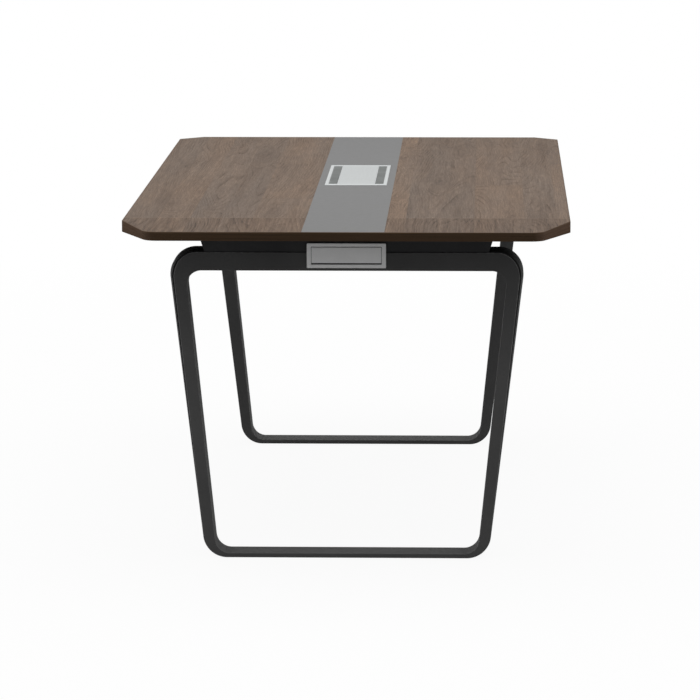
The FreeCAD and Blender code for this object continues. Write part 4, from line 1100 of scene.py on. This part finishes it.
def port_opening(half, sill, head):
    """A rectangle in a port, by its half width and how far it stays from the lower and the upper edge."""
    return rectangle(-half, PORT_LOW[2] + sill, half, PORT_HIGH[2] - head)


PORT_WINDOW = port_opening(half=76.8, sill=7.6, head=7.2)
SLEEVE_OUT = port_opening(half=70, sill=9, head=11)
SLEEVE_IN = port_opening(half=70 - SLEEVE_WALL, sill=9 + SLEEVE_WALL, head=11 + SLEEVE_WALL)


def port_plate(node, side):
    """A flat plate with a window: one ring over its edge, along its back and out through the window."""
    face = side * reaches(node, 1)[1]
    plate = outline_of(PORT_LOW, PORT_HIGH, "upright")
    return frame_ring([
        *outer_rim(plate, PLATE_ROUND, face, -side, PLATE_EDGE),
        (plate, PLATE_ROUND, side * PORT_BACK),
        (PORT_WINDOW, WINDOW_ROUND, side * PORT_BACK),
        *inner_rim(PORT_WINDOW, WINDOW_ROUND, face, -side, WINDOW_EDGE),
    ], "upright")


def port_sleeve(node, side):
    """A sleeve through the beams with a thin collar in the plate's window: one ring in, along and back."""
    # Its black is painted shade: it makes the flap's gaps dark.
    tail, face = (side * reach for reach in reaches(node, 1))
    seat = face - side * SEAT_DEEP
    return frame_ring([
        (PORT_WINDOW, WINDOW_ROUND, seat, COLLAR_GAP),
        (PORT_WINDOW, WINDOW_ROUND, side * PORT_BACK, COLLAR_GAP),
        (SLEEVE_OUT, SLEEVE_ROUND, side * PORT_BACK),
        (SLEEVE_OUT, SLEEVE_ROUND, tail),
        (SLEEVE_IN, SLEEVE_INNER_ROUND, tail),
        (SLEEVE_IN, SLEEVE_INNER_ROUND, seat),
    ], "upright")


def flap(node):
    """The flap's section, round along its hinge edge, carried across and drawn in a little at its ends."""
    low, high = node_box(node)
    rounds = (FLAP_ROUND, FLAP_ROUND, HINGE_ROUND, HINGE_ROUND)
    return slab(outline_of(low, high, "cross"), rounds, low[0], high[0], FLAP_EASE, "cross")


# Frame under the board

RAIL_SHEET = 2.5
RAIL_HALF = 25.0
RAIL_BENDS = (3.5, 1.0, 0.3, 0.3, 3.5, 1.0)
RAIL_MIDDLES = [sum(node_box(f"rail_{side}"))[0] / 2 for side, _ in SIDES]
TUBE_WALL = 2
TUBE_ROUND = 3.0
TUBE_INNER_ROUND = 1.2
TUBE_EASE = 0.4
TRAY_SHEET = 1.5
TRAY_LIP = 12
TRAY_BENDS = (3.0, 2.5, 0.3, 0.3, 1.0, 1.5)
STRAP_WIDE = 30
STRAP_THICK = 3.0
STRAP_GAP = 0.05
STRAP_BENDS = (4.0, 1.0, 1.0, 1.0, 4.0, 1.0)
BRACKET_FOOT = 60
BRACKET_THICK = 5
BRACKET_HALF = 20.5
BRACKET_BENDS = (6.0, 1.0, 1.0, 2.0, 1.0, 1.0)


def rail(node):
    """A folded channel, open to the top, with a flange along each side: its section carried along."""
    low, high = node_box(node)
    base, top = low[2], high[2]
    reach = (high[0] - low[0]) / 2
    return folded([
        (RAIL_HALF, base), (RAIL_HALF, top - RAIL_SHEET), (reach, top - RAIL_SHEET), (reach, top),
        (RAIL_HALF - RAIL_SHEET, top), (RAIL_HALF - RAIL_SHEET, base + RAIL_SHEET),
    ], RAIL_BENDS, low[1], high[1], (low[0] + high[0]) / 2)


def crossbar(node):
    """A rectangular tube with rounded edges and open ends, as one ring along its length."""
    low, high = node_box(node)
    outside = outline_of(low, high, "cross")
    inside = outline_of(low + TUBE_WALL, high - TUBE_WALL, "cross")
    return frame_ring([
        *outer_rim(outside, TUBE_ROUND, high[0], -1, TUBE_EASE),
        *reversed(outer_rim(outside, TUBE_ROUND, low[0], 1, TUBE_EASE)),
        (inside, TUBE_INNER_ROUND, low[0]),
        (inside, TUBE_INNER_ROUND, high[0]),
    ], "cross")


def tray():
    """The tray's folded section, with an inward lip along each side, carried along the table."""
    low, high = node_box("cable_tray")
    half, base, top = high[0], low[2], high[2]
    return folded([
        (half, base), (half, top), (half - TRAY_LIP, top), (half - TRAY_LIP, top - TRAY_SHEET),
        (half - TRAY_SHEET, top - TRAY_SHEET), (half - TRAY_SHEET, base + TRAY_SHEET),
    ], TRAY_BENDS, low[1], high[1])


def straps():
    """Two bent straps round the tray, each a bent section carried over the strap's width."""
    low, high = node_box("tray_straps")
    half = node_box("cable_tray")[1][0] + STRAP_GAP
    reach, base, top = high[0], low[2], high[2]
    section = [
        (half + STRAP_THICK, base), (half + STRAP_THICK, top - STRAP_THICK), (reach, top - STRAP_THICK),
        (reach, top), (half, top), (half, base + STRAP_THICK),
    ]
    return joined([folded(section, STRAP_BENDS, y0, y1) for y0, y1 in both_ends(low[1], high[1], STRAP_WIDE)])


def brackets():
    """Angle brackets in the rails' ends: a bent section carried over the bracket's width."""
    low, high = node_box("rail_brackets")
    base, sole, top = low[2], low[2] + BRACKET_THICK, high[2]
    shells = []
    for _, end in ENDS:
        wall, foot, inner = (end * (high[1] - back) for back in (0, BRACKET_FOOT, BRACKET_THICK))
        section = [(wall, base), (foot, base), (foot, sole), (inner, sole), (inner, top), (wall, top)]
        shells += [prism(section, BRACKET_BENDS, middle - BRACKET_HALF, middle + BRACKET_HALF, "cross")
                   for middle in RAIL_MIDDLES]
    return joined(shells)


# Fasteners, glides and caps

HEAD_EDGE = 0.6
DOME_STEPS = 6


def socket_bolt(radius, tall, shank_radius, shank_long):
    """A bolt with a round head and a six-sided socket, seated at height 0 with its head below it.

    The socket is half as wide as the head and has a cone for its floor; the shank's tip is bevelled.
    """
    head = [(radius - i, d - tall) for i, d in reversed(list(zip(*quarter_round(HEAD_EDGE))))]
    key = radius * 0.5
    return turned([
        (shank_radius * 0.8, shank_long), (shank_radius, shank_long - 0.8), (shank_radius, 0), (radius, 0),
        *head, (key, -tall, 1), (key, -tall * 0.45, 1), (key * 0.2, -tall * 0.4, 1),
    ])


def pan_screw(radius, tall, shank_radius, shank_long):
    """A screw with a domed head and a six-sided recess, seated at height 0 with its head below it.

    The dome is a quarter of an ellipse from the rim in to a flat round the recess; the shank has a blunt tip.
    """
    dome = [(radius * (0.45 + 0.55 * math.cos(a)), -tall * math.sin(a))
            for a in np.linspace(0, math.pi / 2, DOME_STEPS)]
    key = radius * 0.42
    return turned([
        (shank_radius * 0.3, shank_long), (shank_radius, shank_long - 4), (shank_radius, 0), *dome,
        (key, -tall, 1), (key, -tall * 0.4, 1), (key * 0.2, -tall * 0.35, 1),
    ], 18)


def spots(across, along, height):
    """Every place with one of the given distances across, one along, and a height."""
    x, y = np.meshgrid(across, along, indexing="ij")
    return np.stack([x.ravel(), y.ravel(), np.full(x.size, float(height))], -1)


def both_ways(*distances):
    """Each distance on both sides of the middle."""
    return [side * d for d in distances for side in (-1, 1)]


def either_side(middles, step):
    """The places a step to either side of each middle."""
    return [middle + side * step for middle in middles for side in (-1, 1)]


LOOP_MIDDLE = 725.5
WEB_LOW = node_box("rail_left")[0][2]
BAR_LOW = node_box("crossbar_front")[0][2]
BAR_PLACES = [sum(node_box(f"crossbar_{end}"))[1] / 2 for end, _ in ENDS]
BOLT = socket_bolt(radius=6.5, tall=8, shank_radius=4, shank_long=10)
SMALL_BOLT = socket_bolt(radius=5, tall=6, shank_radius=3, shank_long=8)
SCREW = pan_screw(radius=4.5, tall=3, shank_radius=2.25, shank_long=12)
STRAP_BOLT = 93
# A bracket's height, and how far along its foot and up its wall the bolts sit, as a share
BRACKET_TALL = 36
BOLT_SHARE = 0.6
FLANGE_SCREWS = (-640, -320, 0, 320, 640)
FLANGE_STEP = 36
TAB_ACROSS = 120
TAB_ALONG = 671
TAB_STEP = 15
TAB_THICK = 4
GLIDE_RADIUS = 12
GLIDE_ACROSS = 245
GLIDE_STEP = 15
CAP_RADIUS = 7.9
CAP_TALL = 2
CAP_RIM = 0.3
CAP_DOME = 0.9
CAPS_ACROSS = (150, 285)
HUB = 0.5


def bracket_bolts():
    """Bolts up through the rails into the brackets, and bolts from the brackets into the risers."""
    inner = node_box("rail_brackets")[1][1]
    shells = [set_down(BOLT, spots(RAIL_MIDDLES, both_ways(inner - BRACKET_FOOT * BOLT_SHARE), WEB_LOW))]
    pin = WEB_LOW + RAIL_SHEET + BRACKET_TALL * BOLT_SHARE
    for _, end in ENDS:
        shells.append(set_down(BOLT, spots(RAIL_MIDDLES, [end * (inner - BRACKET_THICK)], pin), (0, end, 0)))
    return joined(shells)


def top_screws():
    """Screws through the rails' flanges and the risers' tabs into the board."""
    flanges = either_side(RAIL_MIDDLES, FLANGE_STEP)
    tabs = either_side(both_ways(TAB_ACROSS), TAB_STEP)
    return joined([
        set_down(SCREW, spots(flanges, FLANGE_SCREWS, BOARD_LOW - RAIL_SHEET)),
        set_down(SCREW, spots(tabs, both_ways(TAB_ALONG), BOARD_LOW - TAB_THICK)),
    ])


def glides():
    """Thin round pads under the loops: a turned profile with eased edges."""
    radius, tall = GLIDE_RADIUS, LOOP_BASE
    pad = turned([
        (HUB, tall), (radius - 0.2, tall), (radius, tall - 0.2), (radius, 0.3), (radius - 0.1, 0.1),
        (radius - 0.3, 0), (HUB, 0),
    ], 32)
    along = either_side(both_ways(LOOP_MIDDLE), GLIDE_STEP)
    return set_down(pad, spots(both_ways(GLIDE_ACROSS), along, 0))


def hole_caps():
    """Push-in caps in the rails' bolt holes: a turned profile with a shallow dome below."""
    dome = [(CAP_RADIUS * math.cos(a) + CAP_RIM, -CAP_DOME * math.sin(a))
            for a in np.linspace(0, math.pi / 2, DOME_STEPS)]
    cap = turned([
        (HUB, CAP_TALL), (CAP_RADIUS - CAP_RIM, CAP_TALL), (CAP_RADIUS, 1.6), (CAP_RADIUS, 0.05), *dome,
    ], 28)
    return set_down(cap, spots(both_ways(*CAPS_ACROSS), both_ways(LOOP_MIDDLE), LOOP_TOP - RAIL_TALL))


# Pieces put in place

NOTCH_ROUND = 0.5
NOTCH_OVER = 5

put("edge_band_round", edge_band(), "edge_band", stands_for=["edge_band"])
put("centre_strip_inlay", centre_strip(), "grey_laminate", stands_for=["centre_strip"])
for end, side in ENDS:
    back, face = (side * reach for reach in reaches(f"loop_{end}", 1))
    through = sorted((back - side * NOTCH_OVER, face + side * NOTCH_OVER))
    notch = prism(SLEEVE_OUT, NOTCH_ROUND, *through, "upright")
    put(f"loop_leg_{end}", loop_leg(face, back), "black_steel", stands_for=[f"loop_{end}"], way=notch)
    # the wedge takes the risers' darker coat of painted shade
    put(f"riser_lip_{end}", riser_lip(f"riser_{end}", side), "shaded_riser_black")
put("cable_box_frame", box_frame(), "anodised_frame", stands_for=["box_frame"], way=heel_pockets())
put("cable_box_lid", box_lid(), "anodised", body="lid", stands_for=["box_lid"])
for name, side in SIDES:
    put(f"bristles_{name}", brush(f"brush_{name}", side), "bristle", stands_for=[f"brush_{name}"])
    put(f"hat_rail_{name}", rail(f"rail_{name}"), "black_steel", stands_for=[f"rail_{name}"])
for end, side in ENDS:
    put(f"cable_port_{end}", port_plate(f"port_{end}", side), "grey_plastic", stands_for=[f"port_{end}"])
    # the sleeve's black stands in for the shade behind the flap's gaps: painted shade
    put(f"port_sleeve_{end}", port_sleeve(f"port_{end}", side), "black_plastic")
    put(f"port_flap_{end}", flap(f"flap_{end}"), "grey_plastic", body=f"{end}_flap",
        stands_for=[f"flap_{end}"])
    put(f"cross_tube_{end}", crossbar(f"crossbar_{end}"), "black_steel", stands_for=[f"crossbar_{end}"])
tube_bolts = set_down(SMALL_BOLT, spots(RAIL_MIDDLES, BAR_PLACES, BAR_LOW))
hanger_bolts = set_down(SMALL_BOLT, spots(both_ways(STRAP_BOLT), BAR_PLACES, BAR_LOW - STRAP_THICK))
for name, shell, finish, node in (
    ("tray_trough", tray(), "galvanised", "cable_tray"),
    ("tray_hangers", straps(), "black_steel", "tray_straps"),
    ("rail_angles", brackets(), "zinc_steel", "rail_brackets"),
    ("angle_bolts", bracket_bolts(), "zinc_steel", "bracket_bolts"),
    ("cross_tube_bolts", tube_bolts, "zinc_steel", "crossbar_bolts"),
    ("hanger_bolts", hanger_bolts, "zinc_steel", "strap_bolts"),
    ("board_screws", top_screws(), "zinc_steel", "top_screws"),
    ("floor_glides", glides(), "black_plastic", "glides"),
    ("bolt_hole_caps", hole_caps(), "black_plastic", "hole_caps"),
):
    put(name, shell, finish, stands_for=[node])

KEPT_NODES = {
    "wood_laminate": ["tabletop"],
    # the risers keep the darker coat of painted shade
    "shaded_riser_black": ["riser_front", "riser_rear"],
    "zinc_steel": ["loop_bolts", "lid_rod", "tub_screws"],
    "black_plastic": ["flap_rod_front", "flap_rod_rear"],
    "galvanised": ["box_tub"],
    "socket_black": ["socket_block"],
    "socket_white": ["socket_faces", "data_ports"],
}
for finish, kept in KEPT_NODES.items():
    for name in kept:
        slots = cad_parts[name].data.materials
        slots.clear()
        slots.append(FINISHES[finish])


# Floor, light and camera

FLOOR_RADII = (10.0, 2000.0, 8000.0, 60000.0)
FLOOR_TURNS = 48
FLOOR_LEVEL = -0.2
WHITE = (1, 1, 1, 1)
LIT_WHITE = (0.97, 0.97, 0.97, 1)
SHOWN_WHITE = 0.93
FADE_REACH = (1.2, 4.5)


def shown_straight(web):
    """1 for what is seen straight, in a reflection or through glass, and 0 for light on its way elsewhere."""
    path = web.add("ShaderNodeLightPath")
    straight = web.math("MAXIMUM", path["Is Camera Ray"], path["Is Glossy Ray"])
    return web.math("MAXIMUM", straight, path["Is Transmission Ray"])


def floor():
    """A flat round floor in rings, pale with a faint mottle, which keeps a soft shadow."""
    angle = np.linspace(0, 2 * math.pi, FLOOR_TURNS, endpoint=False)
    ring = np.stack([np.cos(angle), np.sin(angle)], -1)
    shell = skin(lift([radius * ring for radius in FLOOR_RADII], [FLOOR_LEVEL] * len(FLOOR_RADII), "flat"))
    mesh = bpy.data.meshes.new("floor")
    mesh.from_pydata(shell["points"] * MM, [], shell["quads"].tolist() + [shell["caps"][0].tolist()])
    material, web, place = new_finish("pale_floor")
    mottle = web.spread(web.cloud(place, 2.0, 3.0), *MIDDLE)
    own = web.blend(mottle, linear(172), linear(177))
    straight = shown_straight(web)
    matt = web.add("ShaderNodeBsdfDiffuse", {"Color": web.blend(straight, own, LIT_WHITE)})[0]
    white = web.add("ShaderNodeEmission", {"Color": WHITE, "Strength": 1.0})[0]
    away = web.add("ShaderNodeVectorMath", {0: place}, operation="LENGTH")["Value"]
    share = web.times(straight, web.spread(away, *FADE_REACH, SHOWN_WHITE, 1.0))
    both = web.add("ShaderNodeMixShader", {0: share, 1: matt, 2: white})[0]
    web.add("ShaderNodeOutputMaterial", {"Surface": both})
    mesh.materials.append(material)
    plane = placed("floor", mesh)


SKY_STRENGTH = 0.6
LAMP_POWER = 65.0
LAMP_SIZE = 4.0
LAMP_HEIGHT = 4.0


def light():
    """Even pale light from all round, white where it is seen, and one large soft lamp over the table."""
    world = bpy.data.worlds.new("studio")
    bpy.context.scene.world = world
    web = Web.inside(world)
    soft, seen = (web.add("ShaderNodeBackground", {"Color": WHITE, "Strength": strength})[0]
                  for strength in (SKY_STRENGTH, 1.0))
    both = web.add("ShaderNodeMixShader", {0: shown_straight(web), 1: soft, 2: seen})[0]
    web.add("ShaderNodeOutputWorld", {"Surface": both})
    lamp = bpy.data.lights.new("overhead", "AREA")
    lamp.shape = "SQUARE"
    lamp.size = LAMP_SIZE
    lamp.energy = LAMP_POWER
    holder = placed("overhead", lamp)
    holder.location = (0, 0, LAMP_HEIGHT)


FRAME_PIXELS = 700
FOCAL_PIXELS = 4223.33
SENSOR_WIDTH = 36
FAR_CLIP = 200
EYE = (0.30455, -9.8538, 1.84651)
PITCH, YAW, ROLL = -0.15101, -0.03267, -0.0017


def camera():
    """A long lens at the photograph's place: forward by pitch and yaw, its upright turned by the roll."""
    forward = Vector((math.sin(YAW) * math.cos(PITCH), math.cos(YAW) * math.cos(PITCH), math.sin(PITCH)))
    right = Vector((math.cos(YAW), -math.sin(YAW), 0))
    up = right.cross(forward)
    rolled_right = math.cos(ROLL) * right + math.sin(ROLL) * up
    rolled_up = math.cos(ROLL) * up - math.sin(ROLL) * right
    lens = bpy.data.cameras.new("camera")
    lens.sensor_width = SENSOR_WIDTH
    lens.lens = FOCAL_PIXELS * SENSOR_WIDTH / FRAME_PIXELS
    lens.clip_end = FAR_CLIP
    holder = placed("camera", lens)
    columns = Matrix((rolled_right, rolled_up, -forward)).transposed()
    holder.matrix_world = Matrix.Translation(EYE) @ columns.to_4x4()
    bpy.context.scene.camera = holder


floor()
light()
camera()
bpy.context.scene.view_settings.view_transform = "Standard"
